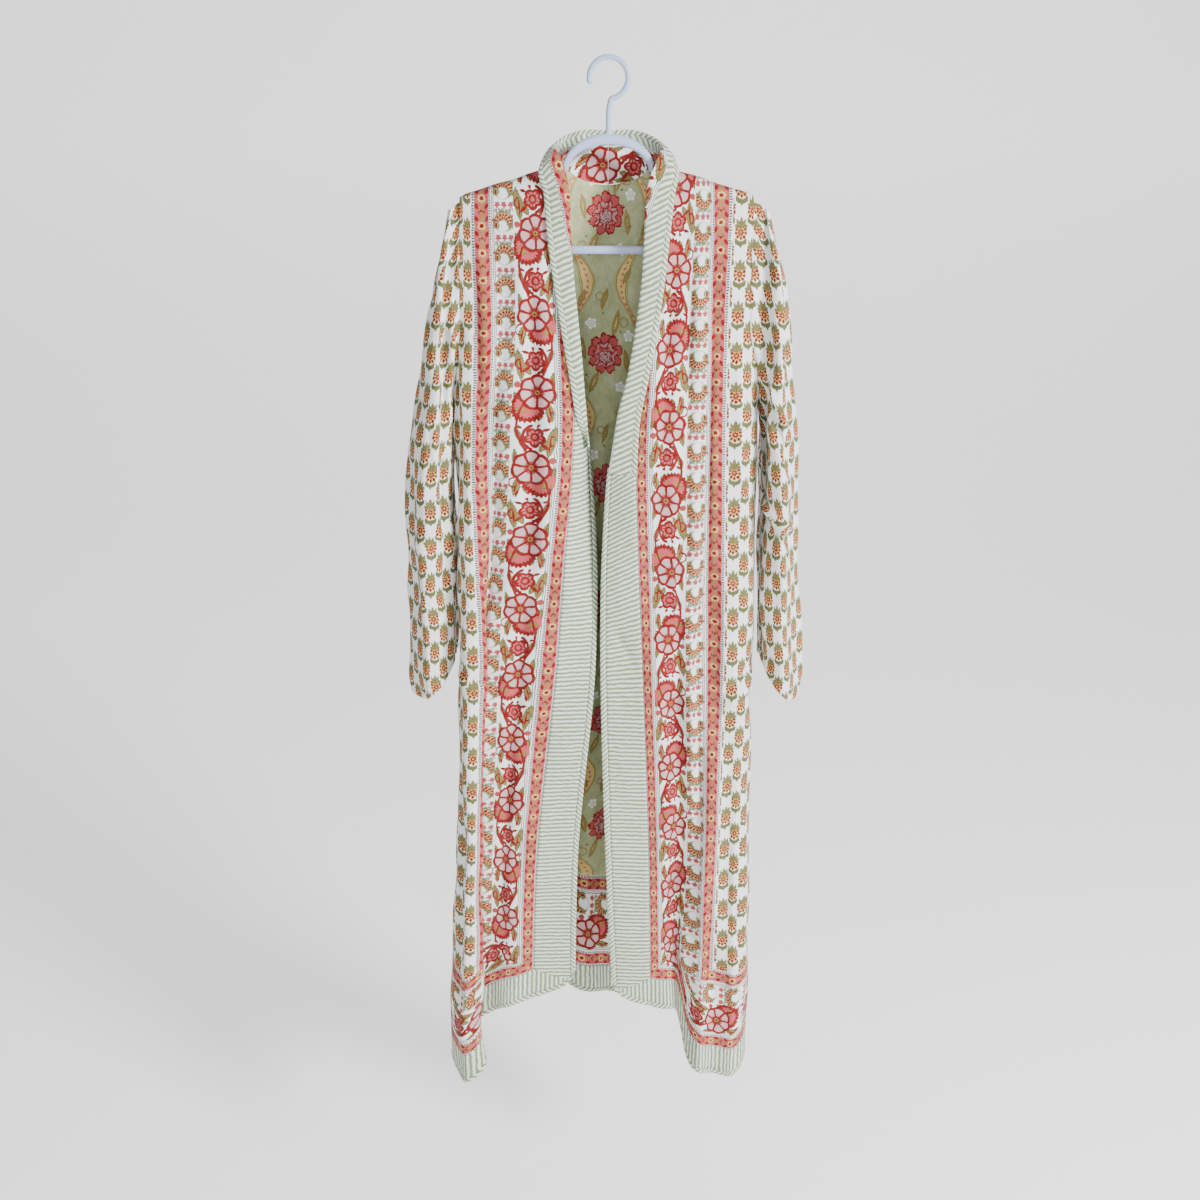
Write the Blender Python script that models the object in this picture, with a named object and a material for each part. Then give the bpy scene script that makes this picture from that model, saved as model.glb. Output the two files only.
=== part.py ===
"""Long block-printed cotton robe, open at the front, on a plastic hanger.

Frame: metres, +Z up, +X to the right of someone facing the front, the front towards -Y.
The origin is where the hanger's hook rests on its rod; everything hangs below it.

The cloth is worked out from the flat pieces.  A place on a front panel is (s, z): s is the
distance across the flat cloth from the front edge, z the height.  Tables of a few hand-set
stations say where the lengthwise lines of the cloth hang at a few heights, and a smooth curve
runs through them both ways, so folds and tucks keep the cloth's own width.  Every piece is a
thin closed wall on that surface, 0.3 mm short of its neighbours at the seams.
"""
import bpy
import numpy as np

# Driving sizes, metres
WALL = 0.0013            # a single layer of the quilted-light cotton
DOUBLE = 0.0024          # where a band wraps both layers
GAP = 0.0003             # between neighbouring pieces at a seam
BINDING = 0.008          # bias binding round every raw edge
BAND = 0.059             # striped front band and its binding together
HEM_BAND = 0.050         # striped hem band and its binding together
FACING_TOP = 0.215       # printed border inside the back hem reaches this high
SIDE_SEAM = 0.300        # flat width of a front, front edge to side seam
ARMHOLE = 0.222          # flat width of a front at the shoulder
ARMHOLE_TOP, ARMPIT = -0.300, -0.480
BACK_HALF, BACK_HALF_TOP = 0.226, 0.205
NECK_POINT = 0.062       # half the neck's width on the shoulder seam
NECK_DROP = 0.143        # the back neck seam, below the hook
SEAM_Y = 0.0016          # half the depth across the shoulder seam
ARM_CLEAR = 0.0058       # the cloth's rounding over the hanger's arm, each side
DEPTH_REACH = 0.12       # how far below the shoulders the cloth comes near its full depth
BAND_TOP = -0.430        # the front bands end under the turned-back neck band
LIFT = 0.0042            # the turned-back band's face, off the panel under it
LINING_GAP = 0.0010      # between the outer cloth and its lining
HANGER_SLOPE = 0.295     # fall of the shoulders, metres for each metre outwards
NECK_POINT_Z = -0.118    # the shoulder line at the neck point
SHOULDER_X = 0.188       # where the armhole seams meet the shoulder line
ROUND_FROM, ROUNDING = 0.170, 17.6   # the shoulder line curves down over the hanger's end

# Soft lengthwise flutes of the back: (depth, width, shift as a share of the width)
FLUTES = ((0.0060, 0.0905, 0.10), (0.0022, 0.0565, 0.30))
BACK_DEPTH = 0.036

# Hanger
WIRE, HOOK_RADIUS = 0.0032, 0.0200
ARCH_HALF, ARCH_RISE, ARCH_BASE = 0.0530, 0.0375, -0.1265
ARM_BELOW = 0.0105       # the arm's centre line, under the shoulder line
BEND_X, BEND_Z, BEND_RADIUS = 0.160, -0.1865, 0.0225
BAR_Z = -0.2190
ARCH_SIZE, ARCH_SWELL = 0.0040, 0.0025
ARM_SIZE, BAR_SIZE = (0.0042, 0.0038), (0.0050, 0.0030)

# Heights of the stations, from the shoulder down
LEVELS = np.array([-0.16, -0.30, -0.455, -0.60, -0.75, -1.04, -1.30])

# Wearer's right front: flat distances, then each lengthwise line's x and y at the levels
RIGHT_S = np.array([0.0, BAND, 0.087, 0.134, 0.158, 0.184, 0.212, 0.262, SIDE_SEAM])
RIGHT_X = -np.array([
    [0.050, 0.040, 0.024, 0.014, 0.016, 0.041, 0.047],
    [0.054, 0.048, 0.043, 0.056, 0.068, 0.099, 0.110],
    [0.076, 0.073, 0.074, 0.086, 0.104, 0.129, 0.139],
    [0.120, 0.118, 0.128, 0.138, 0.149, 0.166, 0.176],
    [0.138, 0.136, 0.144, 0.152, 0.170, 0.190, 0.204],
    [0.158, 0.157, 0.163, 0.162, 0.161, 0.176, 0.184],
    [0.178, 0.180, 0.183, 0.186, 0.186, 0.198, 0.212],
    [0.192, 0.194, 0.197, 0.199, 0.203, 0.214, 0.236],
    [0.188, 0.188, 0.190, 0.190, 0.192, 0.200, 0.218],
])
RIGHT_Y = -np.array([
    [0.045, 0.042, 0.010, 0.035, 0.052, 0.056, 0.056],
    [0.045, 0.047, 0.056, 0.062, 0.060, 0.060, 0.058],
    [0.048, 0.052, 0.062, 0.062, 0.062, 0.062, 0.062],
    [0.050, 0.050, 0.055, 0.056, 0.056, 0.055, 0.052],
    [0.048, 0.045, 0.046, 0.046, 0.053, 0.051, 0.049],
    [0.048, 0.050, 0.056, 0.060, 0.066, 0.069, 0.071],
    [0.040, 0.040, 0.044, 0.064, 0.075, 0.079, 0.083],
    [0.015, 0.018, 0.016, 0.020, 0.022, 0.024, 0.026],
    [-.010, -.012, -.012, -.012, -.012, -.012, -.012],
])
# Wearer's left front
LEFT_S = np.array([0.0, BAND, 0.087, 0.110, 0.134, 0.165, 0.189, 0.225, 0.262, SIDE_SEAM])
LEFT_X = np.array([
    [0.048, 0.037, 0.003, -.008, -.010, -.003, 0.008],
    [0.054, 0.048, 0.036, 0.039, 0.046, 0.058, 0.064],
    [0.074, 0.070, 0.064, 0.068, 0.072, 0.083, 0.090],
    [0.094, 0.089, 0.084, 0.088, 0.091, 0.100, 0.104],
    [0.113, 0.108, 0.108, 0.110, 0.112, 0.119, 0.115],
    [0.130, 0.129, 0.130, 0.132, 0.135, 0.138, 0.136],
    [0.151, 0.147, 0.148, 0.151, 0.154, 0.153, 0.154],
    [0.180, 0.179, 0.179, 0.181, 0.184, 0.183, 0.186],
    [0.191, 0.192, 0.192, 0.193, 0.196, 0.203, 0.210],
    [0.188, 0.188, 0.188, 0.186, 0.186, 0.190, 0.196],
])
LEFT_Y = -np.array([
    [0.045, 0.045, 0.050, 0.054, 0.056, 0.058, 0.058],
    [0.045, 0.047, 0.058, 0.062, 0.060, 0.060, 0.060],
    [0.048, 0.052, 0.062, 0.064, 0.064, 0.062, 0.060],
    [0.048, 0.050, 0.056, 0.056, 0.054, 0.048, 0.046],
    [0.050, 0.052, 0.058, 0.062, 0.064, 0.062, 0.056],
    [0.050, 0.046, 0.048, 0.050, 0.052, 0.076, 0.081],
    [0.048, 0.050, 0.054, 0.058, 0.062, 0.070, 0.074],
    [0.040, 0.042, 0.044, 0.048, 0.056, 0.066, 0.078],
    [0.015, 0.016, 0.016, 0.018, 0.020, 0.022, 0.026],
    [-.010, -.012, -.012, -.012, -.012, -.012, -.012],
])
# Hem heights across each flat front, then across the back's flat width
RIGHT_HEM = ([0.0, 0.006, 0.016, 0.034, BAND, 0.134, 0.158, 0.184, 0.212, 0.262, SIDE_SEAM],
             [-1.238, -1.254, -1.266, -1.276, -1.286, -1.318, -1.345, -1.392, -1.418, -1.404,
              -1.392])
LEFT_HEM = ([0.0, 0.006, 0.016, 0.034, BAND, 0.110, 0.125, 0.140, 0.165, 0.225, 0.262, SIDE_SEAM],
            [-1.258, -1.272, -1.283, -1.292, -1.300, -1.318, -1.348, -1.384, -1.400, -1.412,
             -1.402, -1.390])
BACK_HEM = ([-BACK_HALF, -0.12, -0.05, 0.0, 0.05, 0.14, BACK_HALF],
            [-1.392, -1.372, -1.350, -1.366, -1.368, -1.378, -1.390])

# The fold line of the neck band and its free edge down each front: heights, then distances
# from the middle
RIGHT_ROLL = ([-0.458, -0.312, -0.211, -0.118], [0.023, 0.035, 0.043, 0.048])
RIGHT_EDGE = ([-0.458, -0.422, -0.256, -0.188, -0.121], [0.026, 0.039, 0.067, 0.076, 0.081])
LEFT_ROLL = ([-0.490, -0.451, -0.374, -0.257, -0.189, -0.118], [-.001, 0.001, 0.021, 0.039, 0.042, 0.046])
LEFT_EDGE = ([-0.490, -0.447, -0.359, -0.256, -0.188, -0.123], [0.036, 0.035, 0.052, 0.069, 0.076, 0.084])

# Sleeves: heights, outer fold's x, inner edge's x, depth at the front and the back
SLEEVE_Z = [-0.86, -0.75, -0.60, -0.50, -0.38, -0.27, -0.17]
RIGHT_OUT = [0.280, 0.273, 0.267, 0.264, 0.244, 0.222, 0.197]
LEFT_OUT = [0.276, 0.267, 0.252, 0.249, 0.236, 0.225, 0.199]
SLEEVE_IN = [0.212, 0.209, 0.2055, 0.2035, 0.199, 0.193, 0.189]
SLEEVE_FRONT = [0.050, 0.054, 0.058, 0.060, 0.056, 0.052, 0.050]
SLEEVE_BACK = [0.050, 0.050, 0.050, 0.048, 0.048, 0.048, 0.048]
CUFF_LOW, CUFF_HIGH = -0.817, -0.757
UNDERARM_Y = 0.012       # depth of the underarm seam

# Neck band from the centre back to the shoulder: its seam, its rolled crown and its free edge
NECK_ROOT = [(0, 0.033, -NECK_DROP + GAP), (0.032, 0.029, -0.137), (0.056, 0.015, -0.121),
             (0.062, 0.002, -0.1145), (0.056, -0.013, -0.119)]
NECK_CROWN = [(0, 0.040, -0.110), (0.035, 0.038, -0.106), (0.058, 0.020, -0.094),
              (0.061, 0.003, -0.086), (0.054, -0.016, -0.098)]
NECK_FREE = [(0, 0.042, -0.079), (0.033, 0.041, -0.079), (0.062, 0.024, -0.090),
             (0.078, 0.006, -0.106), (0.085, -0.014, -0.124)]
# Shares of the band's length at those places and at the heights down the front
NECK_AT = [0.0, 0.07, 0.14, 0.18, 0.22, 0.30, 0.39, 0.51, 0.66, 0.84, 1.0]
FRONT_HEIGHTS = [-0.150, -0.20, -0.27, -0.36, -0.42]

# Rows of the front panels: shares below, then above, the height where the bands end
LOWER_ROWS = (0, 0.12, 0.25, 0.40, 0.55, 0.68, 0.79, 0.88, 0.95, 1.0)
UPPER_ROWS = (1.22, 1.50, 1.74, 1.89, 1.96, 1.985, 2.0)

COLOURS = {
    "print": ((0.80, 0.70, 0.64), 0.85), "stripe": ((0.72, 0.78, 0.68), 0.85),
    "binding": ((0.66, 0.74, 0.62), 0.85), "lining": ((0.52, 0.56, 0.42), 0.85),
    "border": ((0.82, 0.55, 0.52), 0.85), "sprig": ((0.78, 0.79, 0.72), 0.85),
    "plastic": ((0.80, 0.83, 0.92), 0.35),
}


def curve(t, knots, values):
    """Smooth curve through values at knots: cubic pieces whose slope at a knot is the mean of its
    neighbours' slopes.  values may hold one row of knot values for each t."""
    k = np.asarray(knots, float)
    t = np.clip(np.asarray(t, float), k[0], k[-1])
    v = np.broadcast_to(np.asarray(values, float), t.shape + (len(k),))
    slope = np.diff(v, axis=-1) / np.diff(k)
    middle = (slope[..., 1:] + slope[..., :-1]) / 2
    tangent = np.concatenate([slope[..., :1], middle, slope[..., -1:]], axis=-1)
    i = np.clip(np.searchsorted(k, t, side="right") - 1, 0, len(k) - 2)
    width = (k[1:] - k[:-1])[i]
    f = (t - k[i]) / width

    def take(a, j):
        return np.take_along_axis(a, j[..., None], axis=-1)[..., 0]
    rise = 3 * f**2 - 2 * f**3
    bend = take(tangent, i) * (f**3 - 2 * f**2 + f) + take(tangent, i + 1) * (f**3 - f**2)
    return take(v, i) * (1 - rise) + take(v, i + 1) * rise + width * bend


def ease(t, low, high):
    """0 below low, 1 above high, smooth between."""
    f = np.clip((t - low) / (high - low), 0, 1)
    return f * f * (3 - 2 * f)


def shoulder_z(x):
    """The shoulder line: it falls evenly outwards and rounds over the hanger's end."""
    a = np.abs(x)
    over = np.maximum(a - ROUND_FROM, 0)
    return NECK_POINT_Z - HANGER_SLOPE * (a - NECK_POINT) - ROUNDING * over**2


def hang_depth(z, x):
    """(share of the full depth, depth of the rounding over the hanger's arm) below the shoulder line."""
    d = np.maximum(shoulder_z(x) - z, 0)
    return 1 - np.exp(-d / DEPTH_REACH), SEAM_Y + ARM_CLEAR * (1 - np.exp(-d / 0.004))


def front_point(side, s, z):
    """Outer surface of a front at flat distance s and height z; side -1 is the wearer's right."""
    knots, xs, ys = (RIGHT_S, RIGHT_X, RIGHT_Y) if side < 0 else (LEFT_S, LEFT_X, LEFT_Y)
    down = -LEVELS
    x = curve(s, knots, np.stack([curve(-z, down, row) for row in xs], axis=-1))
    y = curve(s, knots, np.stack([curve(-z, down, row) for row in ys], axis=-1))
    share, seam = hang_depth(z, x)
    return np.stack([x, y * share + seam * np.clip(y / 0.01, -1, 1), z], axis=-1)


def front_hem(side, s):
    return curve(s, *(RIGHT_HEM if side < 0 else LEFT_HEM))


def front_side(z):
    """Flat distance of a front's outer seam: the armhole seam above the armpit, then the side seam."""
    return ARMHOLE + (SIDE_SEAM - ARMHOLE) * ease(-z, -ARMHOLE_TOP, -ARMPIT)


def front_top(side, s):
    """Height of a front's top edge: the shoulder seam, found from where the line s hangs at the top."""
    x = front_point(side, s, np.full_like(s, LEVELS[0]))[..., 0]
    return shoulder_z(x) - 0.0004 - 0.35 * np.maximum(NECK_POINT - np.abs(x), 0)


def back_half(z):
    """Half the back's flat width at a height."""
    return BACK_HALF_TOP + (BACK_HALF - BACK_HALF_TOP) * ease(-z, 0.16, 0.60)


def at_side(side, z):
    """The front's outer seam at height z."""
    return front_point(side, np.full_like(z, 1.0) * front_side(z), z)


def back_point(u, z):
    """Outer surface of the back at flat distance u from its middle and height z: between the side seams,
    with soft lengthwise flutes that take up the cloth's spare width and grow downwards."""
    f = np.clip(u / back_half(z), -1, 1)
    right, left = at_side(-1, z), at_side(1, z)
    x = right[..., 0] + (left[..., 0] - right[..., 0]) * (f + 1) / 2
    share, seam = hang_depth(z, x)
    grow = ease(-z, 0.22, 0.80)
    flute = sum(deep * np.sin(2 * np.pi * (u / width + shift)) for deep, width, shift in FLUTES)
    y = BACK_DEPTH * share + seam + flute * grow + 0.016 * ease(-z, 0.9, 1.4)
    edge_y = np.where(f < 0, right[..., 1], left[..., 1])
    near = ease(np.abs(f), 0.80, 1.0)
    clear = 0.0028 + 0.0030 * np.exp(-((z + 0.480) / 0.040) ** 2)
    y = y * (1 - near) + (np.maximum(edge_y, seam) + clear) * near
    neck = 0.030 * np.clip(1 - (x / 0.075) ** 2, 0, 1) * np.exp(-np.maximum(-NECK_DROP - z, 0) / 0.25)
    return np.stack([x, y + neck * (1 - share), z], axis=-1)


def back_top(u):
    """Shoulder seam, with the neckline scooped between the neck points."""
    x = np.abs(u) * SHOULDER_X / BACK_HALF_TOP
    scoop = NECK_POINT_Z - (NECK_DROP + NECK_POINT_Z) * (1 - (x / NECK_POINT) ** 2)
    return np.where(x > NECK_POINT, shoulder_z(x), scoop) - 0.0004


def sleeve_point(side, q, z):
    """Outer surface of a sleeve: q runs 0 to 1 from the front armhole seam round the outer fold to the
    back one.  Below the armpit the two ends meet in the underarm seam and the section is a tube."""
    out = curve(z, SLEEVE_Z, RIGHT_OUT if side < 0 else LEFT_OUT)
    inner = curve(z, SLEEVE_Z, SLEEVE_IN)
    front = at_side(side, z)
    back = back_point(side * back_half(z), z)
    share, seam = hang_depth(z, np.full_like(z, SHOULDER_X))
    yf = -(curve(z, SLEEVE_Z, SLEEVE_FRONT) * share + seam)
    yb = curve(z, SLEEVE_Z, SLEEVE_BACK) * share + seam
    below = ease(-z, -ARMPIT - 0.10, -ARMPIT)
    step = 0.0018 + 0.0026 * below
    fx = np.abs(front[..., 0]) + step
    bx = np.abs(back[..., 0]) + step + 0.0012
    sx = np.maximum(fx * (1 - below) + inner * below, fx)
    tx = np.maximum(bx * (1 - below) + inner * below, bx)
    fy = front[..., 1] * (1 - below) + (UNDERARM_Y * below - 0.0006) * below
    by = back[..., 1] * (1 - below) + (UNDERARM_Y * below + 0.0010) * below
    wide = out - inner
    knots = np.array([0, 0.16, 0.32, 0.5, 0.68, 0.84, 1.0])
    x = np.stack([sx, inner + 0.02 * wide + 0.001, inner + 0.52 * wide, out,
                  inner + 0.55 * wide, inner + 0.04 * wide + 0.001, tx], axis=-1)
    y = np.stack([fy, yf * 0.80, yf, 0.10 * yf, yb, yb * 0.75, by], axis=-1)
    wave = 0.0045 * np.sin(2 * np.pi * (q * 5 + 0.2)) * ease(-z, 0.22, 0.40) * np.sin(np.pi * q) ** 2
    return np.stack([side * curve(q, knots, x), curve(q, knots, y) + wave, z], axis=-1)


def cuff_z(q):
    """The sleeve's lower edge, higher on the side next to the body, a little lower at the back."""
    outward = np.sin(np.pi * q) ** 1.2
    return CUFF_HIGH + (CUFF_LOW - CUFF_HIGH) * outward - 0.008 * ease(q, 0.5, 0.8) * outward


def sleeve_top(q):
    return shoulder_z(SHOULDER_X) - 0.0006 - 0.010 * np.sin(np.pi * q)


def collar_point(side, a, b):
    """Outer face of the neck band.  a runs 0 to 1 from the centre-back seam over the shoulder to the
    end on the front; b runs 0 to 1 from the neck seam across the band to its free edge.  Each section
    is a quadratic curve from the seam over a rolled crown to the edge."""
    roll, edge = (RIGHT_ROLL, RIGHT_EDGE) if side < 0 else (LEFT_ROLL, LEFT_EDGE)
    zs = np.array([*FRONT_HEIGHTS, roll[0][0]])
    rx, ex = np.interp(zs, *roll), np.interp(zs, *edge)
    over = skin_y(side, rx + 0.010, zs)
    under = skin_y(side, ex, zs)
    # the wearer's right front curls towards the band near its end
    clear = LIFT + np.where((side < 0) & (zs < -0.40), 0.004, 0.0)
    root = [*NECK_ROOT, *zip(rx + 0.002, over - clear * 0.6, zs)]
    crown = [*NECK_CROWN, *zip(rx - 0.003, over - clear - 0.0055, zs - 0.001)]
    free = [*NECK_FREE, *zip(ex, under - clear, zs - 0.002)]
    r, c, f = (np.stack([curve(a, NECK_AT, [p[i] for p in row]) for i in range(3)], axis=-1)
               for row in (root, crown, free))
    b = np.asarray(b)[..., None]
    return ((1 - b) ** 2 * r + 2 * b * (1 - b) * c + b**2 * f) * np.array([side, 1, 1])


def skin_y(side, x, z):
    """Depth of the front's outer face at distance x from the middle, found along its flat width."""
    shape = (len(z), 65)
    s = np.broadcast_to(np.linspace(0.0, 0.16, shape[1]), shape)
    skin = front_point(side, s.copy(), np.broadcast_to(z[:, None], shape).copy())
    reach = np.maximum.accumulate(side * skin[..., 0], axis=1)
    return np.array([np.interp(*row) for row in zip(x, reach, skin[..., 1])])


def normals(point, u, v, flip):
    """Unit normals of a surface from small steps along its two parameters."""
    e = 2e-4
    du = point(u + e, v) - point(u - e, v)
    dv = point(u, v + e) - point(u, v - e)
    n = np.cross(du, dv)
    n /= np.maximum(np.linalg.norm(n, axis=-1, keepdims=True), 1e-12)
    return -n if flip else n


def material(name):
    colour, rough = COLOURS[name]
    m = bpy.data.materials.get(name) or bpy.data.materials.new(name)
    m.use_nodes = True
    shader = m.node_tree.nodes["Principled BSDF"]
    shader.inputs["Base Color"].default_value = (*colour, 1)
    shader.inputs["Roughness"].default_value = rough
    return m


def add(name, points, faces, finish):
    mesh = bpy.data.meshes.new(name)
    mesh.from_pydata([tuple(map(float, p)) for p in points], [], [tuple(map(int, f)) for f in faces])
    mesh.update()
    obj = bpy.data.objects.new(name, mesh)
    bpy.context.scene.collection.objects.link(obj)
    mesh.materials.append(material(finish))
    mesh.shade_smooth()
    return obj


def wall(name, outer, inner, finish):
    """Closed wall between two grids of points of the same shape."""
    rows, cols = outer.shape[:2]
    index = np.arange(rows * cols).reshape(rows, cols)
    a, b, c, d = index[:-1, :-1], index[:-1, 1:], index[1:, 1:], index[1:, :-1]
    top = np.concatenate([np.stack(t, axis=-1).reshape(-1, 3) for t in ((a, b, c), (a, c, d))])
    n = rows * cols
    faces = [*top, *(top[:, ::-1] + n)]
    rim = np.concatenate([index[0, :-1], index[:-1, -1], index[-1, :0:-1], index[:0:-1, 0]])
    last = np.roll(rim, 1)
    faces += [*np.stack([rim, last, last + n], axis=-1)]
    faces += [*np.stack([rim, last + n, rim + n], axis=-1)]
    points = np.concatenate([outer.reshape(-1, 3), inner.reshape(-1, 3)])
    p = points[np.array(faces)]
    if np.einsum("ij,ij->i", p[:, 0], np.cross(p[:, 1], p[:, 2])).sum() < 0:
        faces = [tuple(f)[::-1] for f in faces]
    return add(name, points, faces, finish)


def cloth(name, point, us, low, high, rows, finish, thick=WALL, flip=False, lift=0.0,
          middle=None):
    """Wall on a surface: columns at us, rows from low(u) to high(u), as shares of that height.  With a
    middle line, shares 0 to 1 run from low to middle and 1 to 2 from middle to high, so neighbours
    that share the middle line share their rows.  lift moves the wall in from the skin."""
    us = np.asarray(us, float)
    f = np.asarray(rows, float)[:, None]
    u = np.broadcast_to(us, (len(f), len(us))).copy()
    if middle is None:
        v = low(u) + (high(u) - low(u)) * f
    else:
        v = np.where(f <= 1, low(u) + (middle(u) - low(u)) * f,
                     middle(u) + (high(u) - middle(u)) * (f - 1))
    n = normals(point, u, v, flip)
    skin = point(u, v)
    return wall(name, skin - n * lift, skin - n * (lift + thick), finish)


def columns(low, high, knots, between):
    """Column places from low to high through the knots, each stretch cut into equal parts."""
    ends = [low, *[k for k in knots if low + 0.002 < k < high - 0.002], high]
    out = [np.linspace(a, b, between + 1)[:-1] for a, b in zip(ends, ends[1:])]
    return np.concatenate([*out, [high]])


def mitre(s):
    """Height of the mitre seam above the hem binding, across the front band."""
    rise = (HEM_BAND - BINDING) / (BAND - BINDING)
    return np.clip((s - BINDING) * rise, 0.0012, HEM_BAND - BINDING)


def build_front(side):
    """A front: printed panel, striped band, hem band mitred to it, and the bindings round the edge."""
    hand = "right" if side < 0 else "left"
    knots = RIGHT_S if side < 0 else LEFT_S
    flip = side < 0
    start = BAND + GAP / 2
    share = (columns(BAND, SIDE_SEAM, knots, 2) - BAND) / (SIDE_SEAM - BAND)
    panel_s = start + share * (SIDE_SEAM - start)
    band_s = np.linspace(BINDING + GAP / 2, BAND - GAP / 2, 5)
    edge_s = np.linspace(0.0, BINDING - GAP / 2, 3)

    def hem(s):
        return front_hem(side, s)

    def point(s, z):
        return front_point(side, s, z)

    def panel_point(c, z):
        """The panel's outer seam moves from the armhole to the side seam, so c is a share of its width."""
        return front_point(side, start + c * (front_side(z) - start), z)

    def panel_s_at(c, z):
        return start + c * (front_side(np.full_like(c, z)) - start)

    def split(u):
        return np.full_like(u, BAND_TOP)

    def gap(s):
        """Half the seam gap, measured upright, where the hem slopes."""
        slope = (hem(s + 0.002) - hem(s - 0.002)) / 0.004
        return GAP * np.hypot(1, 2.0 * slope)

    def above_binding(s):
        return hem(s) + BINDING + gap(s)

    cloth(f"front_{hand}", panel_point, share,
          lambda c: hem(panel_s_at(c, -1.3)) + HEM_BAND + gap(panel_s_at(c, -1.3)),
          lambda c: front_top(side, panel_s_at(c, -0.16)),
          LOWER_ROWS + UPPER_ROWS, "print", flip=flip, middle=split)
    cloth(f"front_band_{hand}", point, band_s, lambda s: above_binding(s) + mitre(s), split,
          LOWER_ROWS, "stripe", flip=flip)
    cloth(f"front_binding_{hand}", point, edge_s, above_binding, split, LOWER_ROWS, "binding",
          flip=flip)
    hem_s = np.concatenate([band_s, panel_s[1:-1], [SIDE_SEAM - GAP]])
    cloth(f"hem_band_{hand}", point, hem_s, above_binding,
          lambda s: hem(s) + BINDING - gap(s) + mitre(s), (0, 1), "stripe", flip=flip)
    cloth(f"hem_binding_{hand}", point, np.concatenate([edge_s, hem_s]), hem,
          lambda s: hem(s) + BINDING - gap(s), (0, 1), "binding", flip=flip)


def build_back():
    """The back: outer panel, the lining and printed border inside it, and the hem band and binding
    that wrap both layers.  Columns and rows are shared, so the layers stay evenly apart."""
    def point(u, z):
        return back_point(u * back_half(z) / BACK_HALF, z)

    def hem(u):
        return curve(u, *BACK_HEM)

    def top(u):
        return back_top(u * BACK_HALF_TOP / BACK_HALF)

    def border_top(u):
        return hem(u) + FACING_TOP

    us = np.linspace(-1, 1, 27) * (BACK_HALF - 0.0008)
    inner = us[2:-2]
    inside = WALL + LINING_GAP
    lower = (0, 0.5, 1)
    upper = (1.0, 1.18, 1.36, 1.52, 1.64, 1.685, 1.73, 1.80, 1.88, 1.94, 1.98, 1.996, 2.0)
    bands_top = hem_line(hem, HEM_BAND + GAP)
    cloth("back", point, us, bands_top, top, lower + upper[1:], "sprig", flip=True, middle=border_top)
    cloth("back_lining", point, inner, hem_line(hem, FACING_TOP + GAP), top,
          np.array(upper[:-1]) - 1, "lining", flip=True, lift=inside)
    cloth("back_border_facing", point, inner, bands_top, hem_line(hem, FACING_TOP - GAP / 2),
          lower, "border", flip=True, lift=inside)
    cloth("back_hem_band", point, us, hem_line(hem, BINDING + GAP),
          hem_line(hem, HEM_BAND - GAP / 2), (0, 1), "stripe", DOUBLE, True)
    cloth("back_hem_binding", point, us, hem, hem_line(hem, BINDING - GAP), (0, 1), "binding",
          DOUBLE, True)


def hem_line(hem, height):
    """A line at an even height above a hem."""
    return lambda u: hem(u) + height


def build_sleeve(side):
    """A sleeve and the narrow binding at its cuff."""
    hand = "right" if side < 0 else "left"

    def point(q, z):
        return sleeve_point(side, q, z)

    qs = np.linspace(0.0, 1.0, 19)
    rows = (0, 0.14, 0.30, 0.42, 0.50, 0.56, 0.63, 0.70, 0.77, 0.85, 0.93, 0.98, 1)
    cloth(f"sleeve_{hand}", point, qs, hem_line(cuff_z, BINDING + GAP / 2), sleeve_top, rows,
          "sprig", flip=side < 0)
    cloth(f"cuff_binding_{hand}", point, qs, cuff_z, hem_line(cuff_z, BINDING - GAP / 2), (0, 1),
          "sprig", flip=side < 0)


def build_collar(side):
    """Half of the neck band, from the centre back to its end on the front, turned outwards."""
    hand = "right" if side < 0 else "left"
    a = np.array([0.0006, 0.05, 0.10, 0.15, 0.20, 0.26, 0.32, 0.40, 0.50, 0.60, 0.70, 0.80, 0.90,
                  0.96, 1.0])
    across, along = np.meshgrid(np.linspace(0, 1, 8), a)
    e = 1e-3
    du = collar_point(side, along, across + e) - collar_point(side, along, across - e)
    dv = (collar_point(side, np.minimum(along + e, 1), across)
          - collar_point(side, np.maximum(along - e, 0), across))
    n = -side * np.cross(du, dv)
    n /= np.linalg.norm(n, axis=-1, keepdims=True)
    skin = collar_point(side, along, across)
    wall(f"collar_{hand}", skin, skin - n * WALL, "stripe")


def tube(name, path, radii, sides, finish):
    """Rod along a path: an ellipse of half sizes radii = (across, in depth) carried along it."""
    path = np.asarray(path, float)
    step = np.gradient(path, axis=0)
    step /= np.linalg.norm(step, axis=1, keepdims=True)
    depth = np.array([0, 1.0, 0])
    across = np.cross(step, depth)
    across /= np.linalg.norm(across, axis=1, keepdims=True)
    t = np.linspace(0, 2 * np.pi, sides, endpoint=False)
    radii = np.broadcast_to(np.asarray(radii, float), (len(path), 2))
    ring = (path[:, None] + across[:, None] * (radii[:, 0, None] * np.cos(t))[..., None]
            + depth * (radii[:, 1, None] * np.sin(t))[..., None])
    index = np.arange(len(path) * sides).reshape(len(path), sides)
    a, b = index[:-1], index[1:]
    faces = list(np.stack([a, b, np.roll(b, -1, 1), np.roll(a, -1, 1)], axis=-1).reshape(-1, 4))
    faces += [tuple(index[0]), tuple(index[-1][::-1])]
    points = ring.reshape(-1, 3)
    tri = np.array([[f[0], f[i], f[i + 1]] for f in faces for i in range(1, len(f) - 1)])
    p = points[tri]
    if np.einsum("ij,ij->i", p[:, 0], np.cross(p[:, 1], p[:, 2])).sum() < 0:
        faces = [tuple(f)[::-1] for f in faces]
    return add(name, points, faces, finish)


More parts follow.
